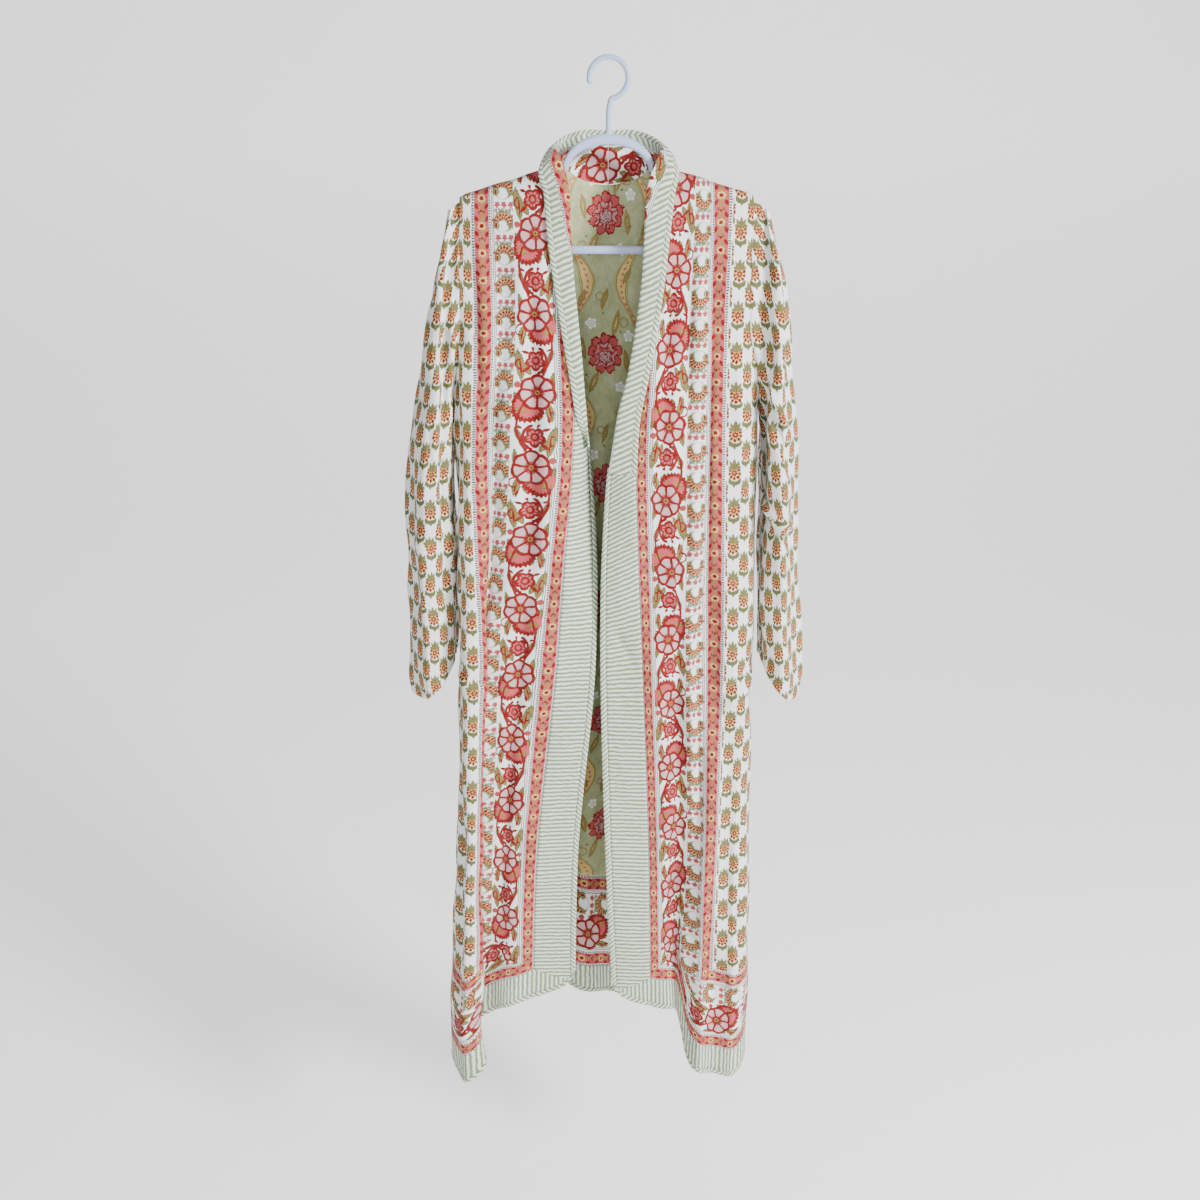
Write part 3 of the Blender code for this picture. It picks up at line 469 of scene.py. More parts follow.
class Recipe:
    """A material in the making.  Patterns are fields in millimetres: above zero inside a shape,
    below zero outside, so a shape's outline is where its field is near zero."""

    def __init__(self, name, rough=0.85, sheen=0.04):
        self.material = bpy.data.materials.new(name)
        self.material.use_nodes = True
        self.tree = self.material.node_tree
        self.shader = self.tree.nodes["Principled BSDF"]
        self.shader.inputs["Roughness"].default_value = rough
        self.shader.inputs["Sheen Weight"].default_value = sheen
        self.shader.inputs["Sheen Roughness"].default_value = 0.5
        self.shader.inputs["Specular IOR Level"].default_value = 0.15

    def node(self, kind, settings=None, inputs=None, output=0):
        """Adds a node: its settings first, then the values or links of its sockets."""
        node = self.tree.nodes.new(kind)
        for key, setting in (settings or {}).items():
            setattr(node, key, setting)
        for key, value in (inputs or {}).items():
            if isinstance(value, Value):
                self.tree.links.new(value.socket, node.inputs[key])
            else:
                node.inputs[key].default_value = value
        return Value(self, node.outputs[output])

    def math(self, operation, *values, clamp=False):
        return self.node("ShaderNodeMath", {"operation": operation, "use_clamp": clamp},
                         dict(enumerate(values)))

    def cloth(self, name):
        """Flat cloth millimetres from a UV map in metres, a little unsteady as a hand print is."""
        flat = self.node("ShaderNodeUVMap", {"uv_map": name})
        mm = self.node("ShaderNodeVectorMath", {"operation": "SCALE"}, {0: flat, "Scale": 1000.0})
        waver = self.node("ShaderNodeTexNoise", {"noise_dimensions": "2D"},
                          {"Vector": mm, "Scale": 0.11, "Detail": 1.0}, output=1)
        moved = self.node("ShaderNodeVectorMath", {"operation": "MULTIPLY_ADD"},
                          {0: waver, 1: (2.2, 2.2, 0), 2: mm})
        return self.apart(moved)

    def apart(self, vector):
        """The first two numbers of a vector."""
        parts = self.tree.nodes.new("ShaderNodeSeparateXYZ")
        self.tree.links.new(vector.socket, parts.inputs[0])
        return Value(self, parts.outputs[0]), Value(self, parts.outputs[1])

    def place(self, x, y):
        """A point as a vector whose third number is 1, so that one dot product moves and turns it."""
        return self.node("ShaderNodeCombineXYZ", None, {0: x, 1: y, 2: 1.0})

    def along(self, p, a, b, c):
        """a x + b y + c at point p."""
        return self.node("ShaderNodeVectorMath", {"operation": "DOT_PRODUCT"}, {0: p, 1: (a, b, c)},
                         output=1)

    def petal(self, p, x, y, turn, length, half, ragged=0.0):
        """A pointed oval from (x, y) in the direction turn, in degrees: half its width times one
        less the square of the place along it, less the distance to its middle line."""
        c, s = np.cos(np.radians(turn)), np.sin(np.radians(turn))
        t = self.along(p, 2 * c / length, 2 * s / length, -2 * (c * x + s * y) / length - 1)
        d = abs(self.along(p, -s, c, s * x - c * y))
        field = self.math("MULTIPLY_ADD", t * t, -half, half) - d
        if ragged:
            field = field - abs(wrap(t, 7.0 / length)) * (ragged * length / 3.5)
        return field

    def petals(self, p, *rows):
        """Several petals, each given by a row of numbers."""
        return either(*(self.petal(p, *row) for row in rows))

    def reach(self, p, x, y):
        """Distance from (x, y)."""
        return self.node("ShaderNodeVectorMath", {"operation": "DISTANCE"}, {0: p, 1: (x, y, 1.0)},
                         output=1)

    def disc(self, p, x, y, radius):
        """Above zero within radius of (x, y)."""
        return radius - self.reach(p, x, y)

    def fan(self, p, x, y, count, turn=0.0):
        """Folds the plane round (x, y) into one wedge of count; gives the distance, the angle from
        the wedge's middle, and the folded point measured from (x, y)."""
        dx, dy = self.along(p, 1, 0, -x), self.along(p, 0, 1, -y)
        angle = wrap(self.math("ARCTAN2", dy, dx) - np.radians(turn), 2 * np.pi / count)
        r = self.reach(p, x, y)
        folded = self.place(r * self.math("COSINE", angle), r * self.math("SINE", angle))
        return r, angle, folded

    def start(self, ink, ground):
        """Takes the inks and the bare cloth: the name of its ink, or a colour worked out already."""
        self.ink = ink
        self.colour = ground if isinstance(ground, Value) else (*ink[ground], 1.0)

    def lay(self, name, field, soft=0.55, strength=1.0):
        """Prints an ink where the field is above zero."""
        mask = self.math("MULTIPLY_ADD", field, 1 / soft, 0.5, clamp=True)
        if strength < 1:
            mask = mask * strength
        self.colour = self.node("ShaderNodeMix", {"data_type": "RGBA"},
                                {0: mask, 6: self.colour, 7: (*self.ink[name], 1.0)}, output=2)

    def finish(self, uv, crumple=1.0):
        """Uneven ink over the whole colour, thread and small creases in the surface."""
        flat = self.node("ShaderNodeUVMap", {"uv_map": uv})
        patch = self.node("ShaderNodeTexNoise", {"noise_dimensions": "2D"},
                          {"Vector": flat, "Scale": 130.0, "Detail": 3.0, "Roughness": 0.65})
        faded = self.math("MULTIPLY_ADD", patch, 1.1, -0.38, clamp=True) * 0.08
        pale = self.node("ShaderNodeMix", {"data_type": "RGBA"},
                         {0: faded, 6: self.colour, 7: (*linear(232, 232, 224), 1.0)}, output=2)
        self.tree.links.new(pale.socket, self.shader.inputs["Base Color"])
        x, y = self.apart(flat)
        thread = self.math("SINE", x * (2 * np.pi / 0.0009)) + self.math("SINE", y * (2 * np.pi / 0.0009))
        small = self.node("ShaderNodeTexNoise", {"noise_dimensions": "2D"},
                          {"Vector": flat, "Scale": 90.0, "Detail": 3.0, "Roughness": 0.55})
        slub = self.node("ShaderNodeTexNoise", {"noise_dimensions": "2D"},
                         {"Vector": flat, "Scale": 900.0, "Detail": 1.0})
        height = thread * 0.03 + small * (1.0 * crumple) + slub * 0.10
        bump = self.node("ShaderNodeBump", None, {"Height": height, "Strength": 0.55, "Distance": 0.0016})
        self.tree.links.new(bump.socket, self.shader.inputs["Normal"])
        return self.material


# ---------------------------------------------------------------- printed patterns

def inks(context):
    """The inks of the colour properties."""
    c = context.scene.robe_colours
    return {key: tuple(getattr(c, key)) for key in c.bl_rna.properties.keys()
            if key not in ("rna_type", "name")}


def sprig_cotton(ink, name):
    """Small flower sprigs in half-drop columns: a crown of ragged leaves over a fan of seed-like red
    petals in two rows over two broad curved leaves."""
    r = Recipe(name)
    x, y = r.cloth("upright")
    pitch, drop = 17.0, 49.0
    lx = wrap(x, pitch)
    ly = wrap(y + (x - lx) * (drop / 2 / pitch), drop)
    p, folded = r.place(lx, ly), r.place(abs(lx), ly)
    # two leaves curve up from a short stalk, as the lower half of a ring
    bowl = both(2.7 - abs(r.reach(p, 0, -2.0) - 10.4), -6.4 - ly)
    leaves = either(r.petal(folded, 1.0, -13.5, 34, 11.0, 2.6, 0.8), bowl,
                    r.petal(p, 0, -18.0, 90, 8, 2.0))
    crown = either(r.petal(p, 0, 0, 90, 19.0, 2.8, 0.4), r.petal(folded, 0.4, 1.5, 70, 16, 2.1, 0.4),
                   r.petal(folded, 0.8, 2.0, 46, 11.5, 2.0, 0.4))
    _, _, outer_row = r.fan(p, 0, 1.0, 9, -90)
    _, _, inner_row = r.fan(p, 0, 1.0, 7, -64)
    lower = 5.6 - ly
    halo = both(either(r.petal(outer_row, 1.2, 0, 0, 9.4, 3.1), r.disc(p, 0, 1.0, 5.4)), lower)
    seeds = both(either(r.petal(outer_row, 4.6, 0, 0, 5.2, 1.75), r.petal(inner_row, 1.0, 0, 0, 3.8, 1.25)),
                 lower)
    r.start(ink, "white")
    r.lay("olive", leaves)
    r.lay("tan", crown)
    veins = either(0.85 - abs(crown - 0.3), r.petal(p, 0, 3, 90, 12, 1.2, 0.3),
                   r.petal(folded, 1.6, 4, 64, 9, 0.7))
    r.lay("olive", veins, 0.8)
    r.lay("orange", halo)
    r.lay("cream", 1.4 - abs(halo - 1.9), 1.4, 0.5)
    r.lay("brick", seeds)
    return r.finish("upright")


def border(name, offset):
    """Distances across and along a printed border.  The border follows the front edge and then the
    hem: across is the lesser of the distances from the edge band and from the hem band."""
    r = Recipe(name)
    s, z = r.cloth("flat")
    h, around = r.cloth("hem")
    a = s - BAND * 1000
    b = h - HEM_BAND * 1000
    turned = r.math("LESS_THAN", b, a)
    along = z + (around - z) * turned
    return r, both(a, b) - offset, along


def pink_border(ink, name, offset):
    """A pink strip between ladders of dark dashes: star flowers, pairs of red petals and dots on a
    narrow winding stem."""
    r, x, y = border(name, offset + 11.0)
    ax, ly = abs(x), wrap(y, FLOWER_STEP / 3)
    p, f = r.place(x, ly), r.place(ax, ly)
    tick = both(1.05 - abs(wrap(y, 3.2)), 1.35 - abs(ax - 9.6))
    r.start(ink, "white")
    r.lay("dark", tick, 0.4, 0.95)
    r.lay("pink", 8.0 - ax)
    stem = 1.8 - abs(x + r.math("SINE", y * (12 * np.pi / FLOWER_STEP)) * 1.2)
    r.lay("tan", stem, strength=0.8)
    _, _, wedge = r.fan(p, 0, 0, 8)
    r.lay("tan", r.disc(p, 0, 0, 4.6), strength=0.6)
    r.lay("cream", r.petal(wedge, 1.2, 0, 0, 4.0, 1.2))
    red = either(r.petal(f, 6.8, -12.0, 110, 8.0, 1.9), r.petal(f, 6.8, 5.2, 110, 8.0, 1.9),
                 r.disc(p, 0, 0, 2.5), r.petal(p, 0, 12.0, 90, 6.6, 1.4))
    r.lay("red", red)
    dots = either(r.disc(f, 2.6, -15.0, 1.0), r.disc(f, 2.6, 15.0, 1.0), r.disc(f, 5.2, -1.0, 0.8))
    r.lay("dark", dots, strength=0.7)
    return r.finish("flat")


def vine_border(ink, name, offset):
    """Large outlined flowers, rose buds, saw-edged pink leaves and olive leaves along a winding red
    stem, beside two thin grey lines.  Each flower's part mirrors its neighbour's."""
    r, x, y = border(name, offset + 27.5)
    ly = wrap(y, FLOWER_STEP)
    u = x * r.math("COSINE", (y - ly) * (np.pi / FLOWER_STEP))
    p = r.place(u, ly)
    r.start(ink, "white")
    r.lay("grey", 0.5 - abs(abs(x + 24.2) - 1.3), 0.4)
    # tan leaves with olive veins and red midribs, in the corners the flowers leave free
    tan = r.petals(p, (16.5, -5, -84, 38, 5.8, 1.4), (-22, -18, 78, 34, 4.4, 1.1),
                      (6, -12, -62, 20, 4.0, 1.0), (22.5, -46, 82, 22, 3.2, 0.8),
                      (-19.5, 46, -80, 28, 5.0, 1.3), (-3, 44, 250, 17, 4.0, 1.0),
                      (-21, -46, 74, 20, 3.2, 0.8), (24, 6, 96, 20, 2.6, 0.7))
    r.lay("tan", tan)
    r.lay("olive", 0.95 - abs(tan - 0.4), 0.6)
    r.lay("olive", both(tan - 1.2, 0.5 - abs(wrap(u * 0.7 + ly, 3.0))), 0.6, 0.7)
    midribs = r.petals(p, (16.8, -11, -84, 25, 1.3), (-21.2, -12, 78, 19, 1.0), (-19.6, 42, -78, 18, 1.1))
    # the stem, and the pink leaf that hugs the flower, its outer edge cut like a saw
    stem = 1.6 - abs(u - r.math("SINE", ly * (np.pi / FLOWER_STEP)) * 20.0)
    saw_reach, saw_angle, _ = r.fan(p, 8.5, 25, 24, 0)
    leaf = 17.6 - saw_reach
    r.lay("pink", leaf)
    young = r.petal(p, 9.5, 31, -14, 13, 3.6)
    r.lay("yellow", young, strength=0.9)
    r.lay("olive", either(0.5 - abs(young - 0.2), 0.5 - abs(young - 2.0)))
    saw = 1.5 + abs(saw_angle) * 22.0 - abs(leaf)
    # the rose bud on its own curl
    bud_reach, bud_angle, bud_wedge = r.fan(p, 0.5, -31, 5, 90)
    bud_rim = 12.2 - bud_angle * bud_angle * 8.0
    bud = bud_rim - bud_reach
    curl = both(2.0 - abs(r.reach(p, 3, -31) - 16.2), -2.0 - u)
    spikes = r.petals(p, (7, -24, 36, 13, 2.1), (-6, -22, 118, 11, 1.8), (8, -39, -20, 11, 2.0),
                         (-13, -42, 210, 9, 1.6), (3, -42, -70, 9, 1.8), (-17, 0, 140, 9, 1.6),
                         (-15, 36, 100, 11, 1.8))
    r.lay("pink", bud)
    r.lay("blush", r.petal(bud_wedge, 4.4, 0, 0, 4.6, 1.5), strength=0.7)
    hooks = either(1.2 - abs(r.reach(p, 19, -27) - 6.0), 1.1 - abs(r.reach(p, -20, 27) - 6.2))
    lines = either(stem, saw, 1.8 - abs(bud - 0.9), both(1.3 - abs(bud_reach - 4.2), bud), curl, spikes,
                   both(1.0 - bud_reach * abs(bud_angle) * 1.2, bud, bud_reach - 3.6),
                   both(hooks, abs(u) - 18.5))
    r.lay("red", either(both(lines, x + 22.0), midribs))
    # the flower: seven petals with a scalloped rim, laid over the rest
    reach, angle, _ = r.fan(p, -2.0, 8, 7, 12)
    rim = 22.3 - angle * angle * 13.0
    r.lay("blush", rim - reach)
    r.lay("pink", 9.5 - reach - abs(angle) * 9, 3.0, 0.75)
    veins = both(1.65 - reach * (np.pi / 7 - abs(angle)), reach - 3.2)
    nicks = both(0.55 - reach * abs(abs(angle) - 0.13), reach - 3.2, 8.0 - reach)
    flower = both(either(2.1 - abs(rim - 1.0 - reach), veins, nicks), rim + 1.0 - reach)
    r.lay("red", flower)
    r.lay("tan", 3.6 - reach)
    r.lay("red", either(1.5 - reach, 0.5 - abs(reach - 3.6)))
    rings, _, _ = r.fan(p, 21.5, -2, 6)
    cluster = 3.9 - rings
    r.lay("pink", cluster)
    r.lay("red", both(0.75 - abs(abs(rings - 2.0) - 0.9), cluster), strength=0.55)
    return r.finish("flat")


def paisley_border(ink, name, offset):
    """Upturned paisleys full of red seeds, with rows of three pink blossoms between them and grey
    lines outside."""
    r, x, y = border(name, offset + 17.5)
    ly = wrap(y + 9.0, FLOWER_STEP * 0.4)
    # drawn round and then pressed flatter
    p = r.place(x, ly * 1.28)
    crescent = both(r.disc(p, -1.6, 4.6, 14.4), 0.0 - r.disc(p, -0.6, 12.2, 10.4))
    stalk = r.petal(p, -17.5, 14.5, -46, 15, 3.0, 0.6)
    body = either(crescent, stalk, r.disc(p, 10.0, 10.2, 3.9))
    r.start(ink, "white")
    r.lay("tan", 0.8 - abs(body + 1.5), 0.6, 0.6)
    r.lay("cream", body)
    r.lay("pink", crescent - 2.0, 1.4, 0.55)
    r.lay("olive", either(1.0 - abs(body - 0.2), stalk - 1.4), 0.5)
    _, _, outer_row = r.fan(p, -1.6, 7.0, 15, -90)
    _, _, inner_row = r.fan(p, -1.6, 7.0, 13, -78)
    seeds = either(both(r.petal(outer_row, 9.8, 0, 0, 5.4, 1.9), crescent - 0.9),
                   both(r.petal(inner_row, 5.8, 0, 0, 4.4, 1.5), crescent - 0.6),
                   r.petal(p, 10.0, 7.0, 84, 6.6, 2.1))
    r.lay("red", seeds)
    r.lay("dark", r.disc(p, 10.0, 10.6, 0.9))
    # the blossoms, three across
    lx = wrap(x + 2.8, 10.6)
    q, g = r.place(lx, ly), r.place(abs(lx), ly)
    row = 15.8 - abs(x + 2.8)
    leaves = either(r.petal(g, 1.2, -11.4, 42, 6.2, 1.7), r.petal(q, 0.4, -11.6, 78, 6.6, 1.4),
                    r.petal(g, 1.0, -20.0, -48, 5.8, 1.5), r.petal(q, -2.4, -20.4, -100, 5.2, 1.3))
    r.lay("olive", both(leaves, row), strength=0.85)
    reach, angle, _ = r.fan(q, 0, -16.0, 5, 90)
    blossom = 4.5 - angle * angle * 5.4 - reach
    r.lay("pink", both(blossom, row))
    lines = either(0.55 - abs(blossom - 0.1), 0.5 - abs(reach - 1.5))
    r.lay("brick", both(lines, row, blossom + 0.8), strength=0.6)
    dot = either(r.disc(p, 14.4, 2.0, 2.4), r.disc(p, -15.8, -4.0, 2.2))
    r.lay("pink", dot)
    r.lay("brick", 0.5 - abs(dot - 0.4), strength=0.6)
    r.lay("grey", 0.55 - abs(abs(x - 15.4) - 1.2), 0.4)
    return r.finish("flat")


def striped_cotton(ink, name, turn, pitch):
    """Sage stripes on off-white; turn is the angle between the stripes and the cloth's width."""
    r = Recipe(name)
    x, y = r.cloth("flat")
    c, s = np.cos(np.radians(turn)), np.sin(np.radians(turn))
    p = r.place(x, y)
    across = wrap(r.along(p, -s, c, 0.0), pitch)
    r.start(ink, "stripe_pale")
    r.lay("sage", pitch * 0.25 - abs(across), pitch * 0.22)
    return r.finish("flat", 1.2)


def lining_cotton(ink, name):
    """A mottled sage ground with outlined peonies, winding cream stems with pink dots, tan leaves
    and curls, and small white flowers."""
    r = Recipe(name)
    x, y = r.cloth("flat")
    pitch, drop = 92.0, 176.0
    lx = wrap(x, pitch)
    ly = wrap(y + (x - lx) * (drop / 2 / pitch), drop)
    p = r.place(lx, ly)
    place = r.place(x, y)
    cloud = r.node("ShaderNodeTexNoise", {"noise_dimensions": "2D"},
                   {"Vector": place, "Scale": 0.06, "Detail": 4.0, "Roughness": 0.75})
    ground = r.node("ShaderNodeMix", {"data_type": "RGBA"},
                    {0: r.math("MULTIPLY_ADD", cloud, 2.6, -0.8, clamp=True),
                     6: (*ink["lining_dark"], 1.0), 7: (*ink["lining"], 1.0)}, output=2)
    # winding stems between the columns of peonies, swelling and thinning as they go
    side = abs(wrap(x, 2 * pitch))
    bend = 0.5 * pitch + r.math("COSINE", y * (2 * np.pi / drop)) * 21.0
    swell = 5.6 + r.math("SINE", y * (4 * np.pi / drop) + 1.0) * 3.4
    stem = swell - abs(side - bend)
    r.start(ink, ground)
    r.lay("cream", stem, strength=0.9)
    r.lay("tan", either(0.9 - abs(stem - 0.4), 0.4 - abs(stem + 2.2)))
    dots = both(2.0 - r.reach(r.place(side - bend, wrap(y, 7.4)), 0, 0), stem - 1.2)
    r.lay("rose", dots, 0.9, 0.85)
    leaves = r.petals(p, (12, 20, 74, 38, 5.4, 1.2), (-30, -8, 100, 34, 4.8, 1.0),
                         (-10, -22, 244, 34, 5.2, 1.2), (30, 6, -84, 34, 4.4, 1.0),
                         (-40, 60, 62, 26, 4.2, 1.0), (40, -66, 240, 26, 4.0, 1.0),
                         (4, 84, 250, 30, 4.4, 1.0))
    r.lay("cream", leaves, strength=0.75)
    r.lay("tan", 1.3 - abs(leaves - 0.9), 0.8)
    r.lay("olive", 0.5 - abs(leaves - 3.0), 0.5)
    curls = either(0.9 - abs(r.reach(p, 30, 40) - 6.0), 0.9 - abs(r.reach(p, -34, -40) - 6.5),
                   0.8 - abs(r.reach(p, -8, 74) - 5.0))
    r.lay("tan", curls, strength=0.85)
    specks = either(r.disc(p, 24, 28, 1.7), r.disc(p, -28, -28, 1.7), r.disc(p, 36, -16, 1.5),
                    r.disc(p, -3, 52, 1.5))
    r.lay("dark", specks, strength=0.7)
    for cx, cy, turn in ((36, 22, 90), (-20, 40, 40), (22, -44, 10)):
        reach, angle, _ = r.fan(p, cx, cy, 5, turn)
        white = 7.8 - angle * angle * 8.0 - reach
        r.lay("white", white)
        r.lay("tan", either(0.45 - abs(reach - 3.2), 1.2 - reach), strength=0.7)
    # the peony: ragged rings of scalloped petals round a heart of pale scales
    ragged = r.node("ShaderNodeTexNoise", {"noise_dimensions": "2D"},
                    {"Vector": place, "Scale": 0.16, "Detail": 2.0}) * 9.0 - 4.5
    reach, angle, _ = r.fan(p, 0, 0, 9, 90)
    outer = 26.5 - angle * angle * 46.0 - reach + ragged
    middle_reach, middle_angle, _ = r.fan(p, 0, -2, 7, 70)
    middle = 18.0 - middle_angle * middle_angle * 26.0 - middle_reach - ragged
    heart_reach, heart_angle, _ = r.fan(p, 0, -4, 6, 90)
    heart = 10.0 - heart_angle * heart_angle * 9.0 - heart_reach + ragged * 0.6
    r.lay("rose", outer)
    r.lay("pink", outer - 3.0, 3.0, 0.8)
    r.lay("blush", both(middle - 1.0, 2.0 - abs(middle - 3.0)), 2.0, 0.7)
    r.lay("rose", middle - 5.5, 2.5, 0.7)
    r.lay("blush", heart)
    lines = either(1.1 - abs(outer - 0.3), both(1.0 - abs(middle), outer), 0.8 - abs(heart),
                   both(0.6 - abs(wrap(heart_reach + ragged, 3.2)), heart),
                   both(0.9 - reach * abs(abs(angle) - np.pi / 9), outer, reach - 15.0),
                   both(0.7 - middle_reach * abs(middle_angle), middle, middle_reach - 9.0))
    r.lay("crimson", lines)
    return r.finish("flat")


def moulded_plastic(ink, name):
    """White plastic with a cool tint, a soft gloss and a faint unevenness from the mould."""
    r = Recipe(name, 0.34, 0.0)
    r.shader.inputs["Specular IOR Level"].default_value = 0.5
    place = r.node("ShaderNodeTexCoord", output=3)
    haze = r.node("ShaderNodeTexNoise", None, {"Vector": place, "Scale": 24.0, "Detail": 2.0})
    colour = r.node("ShaderNodeMix", {"data_type": "RGBA"},
                    {0: haze, 6: (*ink["plastic"], 1.0),
                     7: (*(0.94 * np.array(ink["plastic"])), 1.0)}, output=2)
    r.tree.links.new(colour.socket, r.shader.inputs["Base Color"])
    rough = r.math("MULTIPLY_ADD", haze, 0.16, 0.26)
    r.tree.links.new(rough.socket, r.shader.inputs["Roughness"])
    grain = r.node("ShaderNodeTexNoise", None, {"Vector": place, "Scale": 420.0, "Detail": 2.0})
    bump = r.node("ShaderNodeBump", None, {"Height": grain, "Strength": 0.12, "Distance": 0.0004})
    r.tree.links.new(bump.socket, r.shader.inputs["Normal"])
    return r.material


# ---------------------------------------------------------------- fine cloth

def drape(s, z, seed, size=1.0):
    """Small soft unevenness: twelve sine waves in seeded directions, longer ones taller, in metres."""
    random = np.random.default_rng(seed)
    total = np.zeros(np.broadcast(s, z).shape)
    for _ in range(12):
        length = random.uniform(0.030, 0.110)
        turn = random.uniform(-0.9, 0.9)
        wave = 2 * np.pi * (s * np.cos(turn) + z * np.sin(turn) * 0.6) / length
        total += 0.0045 * length * np.sin(wave + random.uniform(0, 2 * np.pi))
    return total * size


def crease(u, v, start, end, width, depth):
    """A soft ridge along the straight line from start to end, fading at its ends: the depth times a
    bell curve of the distance from the line.  A negative depth makes a groove."""
    way = np.subtract(end, start)
    length = np.hypot(*way)
    way /= length
    du, dv = u - start[0], v - start[1]
    t = (du * way[0] + dv * way[1]) / length
    d = dv * way[0] - du * way[1]
    return depth * np.exp(-(d / width) ** 2) * ease(t, -0.15, 0.3) * (1 - ease(t, 0.7, 1.15))


def front_relief(side, s, z):
    """What the small folds add to a front, along its normal."""
    sizes = fine_sizes()
    quiet = ease(s, 0.050, 0.085) if side < 0 else ease(s, 0.040, 0.085)
    total = drape(s, z, 3 + side, 0.35 + 0.65 * quiet) * sizes.drape
    # gathered stitches along the band's seam and beside the binding
    beat = np.sin(2 * np.pi * z / 0.0108 + 1.6 * np.sin(z * 41.0))
    total += sizes.pucker * beat * np.exp(-((s - BAND) / 0.0075) ** 2)
    total += 0.5 * sizes.pucker * beat * np.exp(-((s - BINDING) / 0.004) ** 2)
    total -= 0.0009 * np.exp(-((s - BAND) / 0.0016) ** 2) + 0.0006 * np.exp(-((s - BINDING) / 0.0012) ** 2)
    for start, end, width, depth in RIGHT_CREASES if side < 0 else LEFT_CREASES:
        total += crease(s, z, start, end, width, depth)
    near_top = ease(-z, 0.150, 0.260)
    return total * (0.35 + 0.65 * near_top)


def fine_sizes():
    """The panel's sizes of the fine shapes."""
    return bpy.context.scene.robe_sizes


def lifted(point, u, v, flip, relief):
    """A surface's points moved along its unit normals by a relief, and the normals of the result."""
    def moved(a, b):
        e = 2e-4
        n = np.cross(point(a + e, b) - point(a - e, b), point(a, b + e) - point(a, b - e))
        n /= np.maximum(np.linalg.norm(n, axis=-1, keepdims=True), 1e-12)
        return point(a, b) + (-n if flip else n) * relief(a, b)[..., None]

    skin = moved(u, v)
    normal = grid_normals(skin)
    e = 2e-4
    rough = np.cross(point(u + e, v) - point(u - e, v), point(u, v + e) - point(u, v - e))
    if flip:
        rough = -rough
    same = np.sign(np.einsum("...i,...i", rough, normal).sum())
    return skin, normal * (same if same else 1.0)


def grid_normals(p):
    """Unit normals of a grid of points, from the slopes along its rows and columns."""
    n = np.cross(np.gradient(p, axis=1), np.gradient(p, axis=0))
    return n / np.maximum(np.linalg.norm(n, axis=-1, keepdims=True), 1e-12)


def make_mesh(name, points, faces, slots, materials, maps=None):
    """A mesh object from arrays; maps holds flat cloth places for each point."""
    mesh = bpy.data.meshes.new(name)
    mesh.vertices.add(len(points))
    mesh.vertices.foreach_set("co", np.asarray(points, np.float32).ravel())
    size = faces.shape[1]
    mesh.loops.add(faces.size)
    mesh.loops.foreach_set("vertex_index", np.asarray(faces, np.int32).ravel())
    mesh.polygons.add(len(faces))
    mesh.polygons.foreach_set("loop_start", np.arange(len(faces), dtype=np.int32) * size)
    for material in materials:
        mesh.materials.append(material)
    mesh.polygons.foreach_set("material_index", np.asarray(slots, np.int32))
    for key, place in (maps or {}).items():
        layer = mesh.uv_layers.new(name=key)
        layer.uv.foreach_set("vector", np.asarray(place, np.float32)[faces.ravel()].ravel())
    mesh.update(calc_edges=True)
    mesh.validate()
    mesh.shade_smooth()
    obj = bpy.data.objects.new(name, mesh)
    bpy.context.scene.collection.objects.link(obj)
    return obj


def facing_out(points, quads):
    """The faces of a closed mesh, turned round if the volume that they bound is negative."""
    a, b, c, d = np.moveaxis(points[quads], 1, 0)
    volume = (a * np.cross(b, c)).sum() + (a * np.cross(c, d)).sum()
    return quads if volume > 0 else quads[:, ::-1]


def wall(name, outer, inner, maps, slots, materials, back_slot, rim_slot):
    """A closed wall between two grids of points, its outer cells in the slots given."""
    rows, cols = outer.shape[:2]
    index = np.arange(rows * cols).reshape(rows, cols)
    cells = np.stack([index[:-1, :-1], index[:-1, 1:], index[1:, 1:], index[1:, :-1]], axis=-1)
    cells = cells.reshape(-1, 4)
    n = rows * cols
    rim = np.concatenate([index[0, :-1], index[:-1, -1], index[-1, :0:-1], index[:0:-1, 0]])
    last = np.roll(rim, 1)
    edge = np.stack([rim, last, last + n, rim + n], axis=-1)
    faces = np.concatenate([cells, cells[:, ::-1] + n, edge])
    points = np.concatenate([outer.reshape(-1, 3), inner.reshape(-1, 3)])
    slot = np.concatenate([np.broadcast_to(slots, (rows - 1, cols - 1)).ravel(),
                           np.full(len(cells), back_slot), np.full(len(edge), rim_slot)])
    faces = facing_out(points, faces)
    doubled = {key: np.concatenate([place.reshape(-1, 2)] * 2) for key, place in maps.items()}
    return make_mesh(f"{name}_cloth", points, faces, slot, materials, doubled)


def flat_area(place):
    """Area of a grid on the flat cloth, by the cross products of its cells' diagonals."""
    a = place[1:, 1:] - place[:-1, :-1]
    b = place[1:, :-1] - place[:-1, 1:]
    return float(np.abs(a[..., 0] * b[..., 1] - a[..., 1] * b[..., 0]).sum() / 2)


def hang(piece, nodes, area):
    """Attaches a piece of cloth to the root and hides the CAD parts that it replaces; area, its cut size, is
    not used.
    """
    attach(piece, "root")
    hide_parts(*nodes)


def strip_of(rows, count):
    """The strip that each row of cells lies in, for count columns of points."""
    strip = np.floor((rows[1:] + rows[:-1]) / 2).astype(int)
    return np.broadcast_to(strip[:, None], (len(rows) - 1, count - 1))


def edge_bead(share, height):
    """The roll of a bound edge: a half ellipse over the binding's width."""
    return height * np.sqrt(np.clip(1 - (2 * share - 1) ** 2, 0, 1))


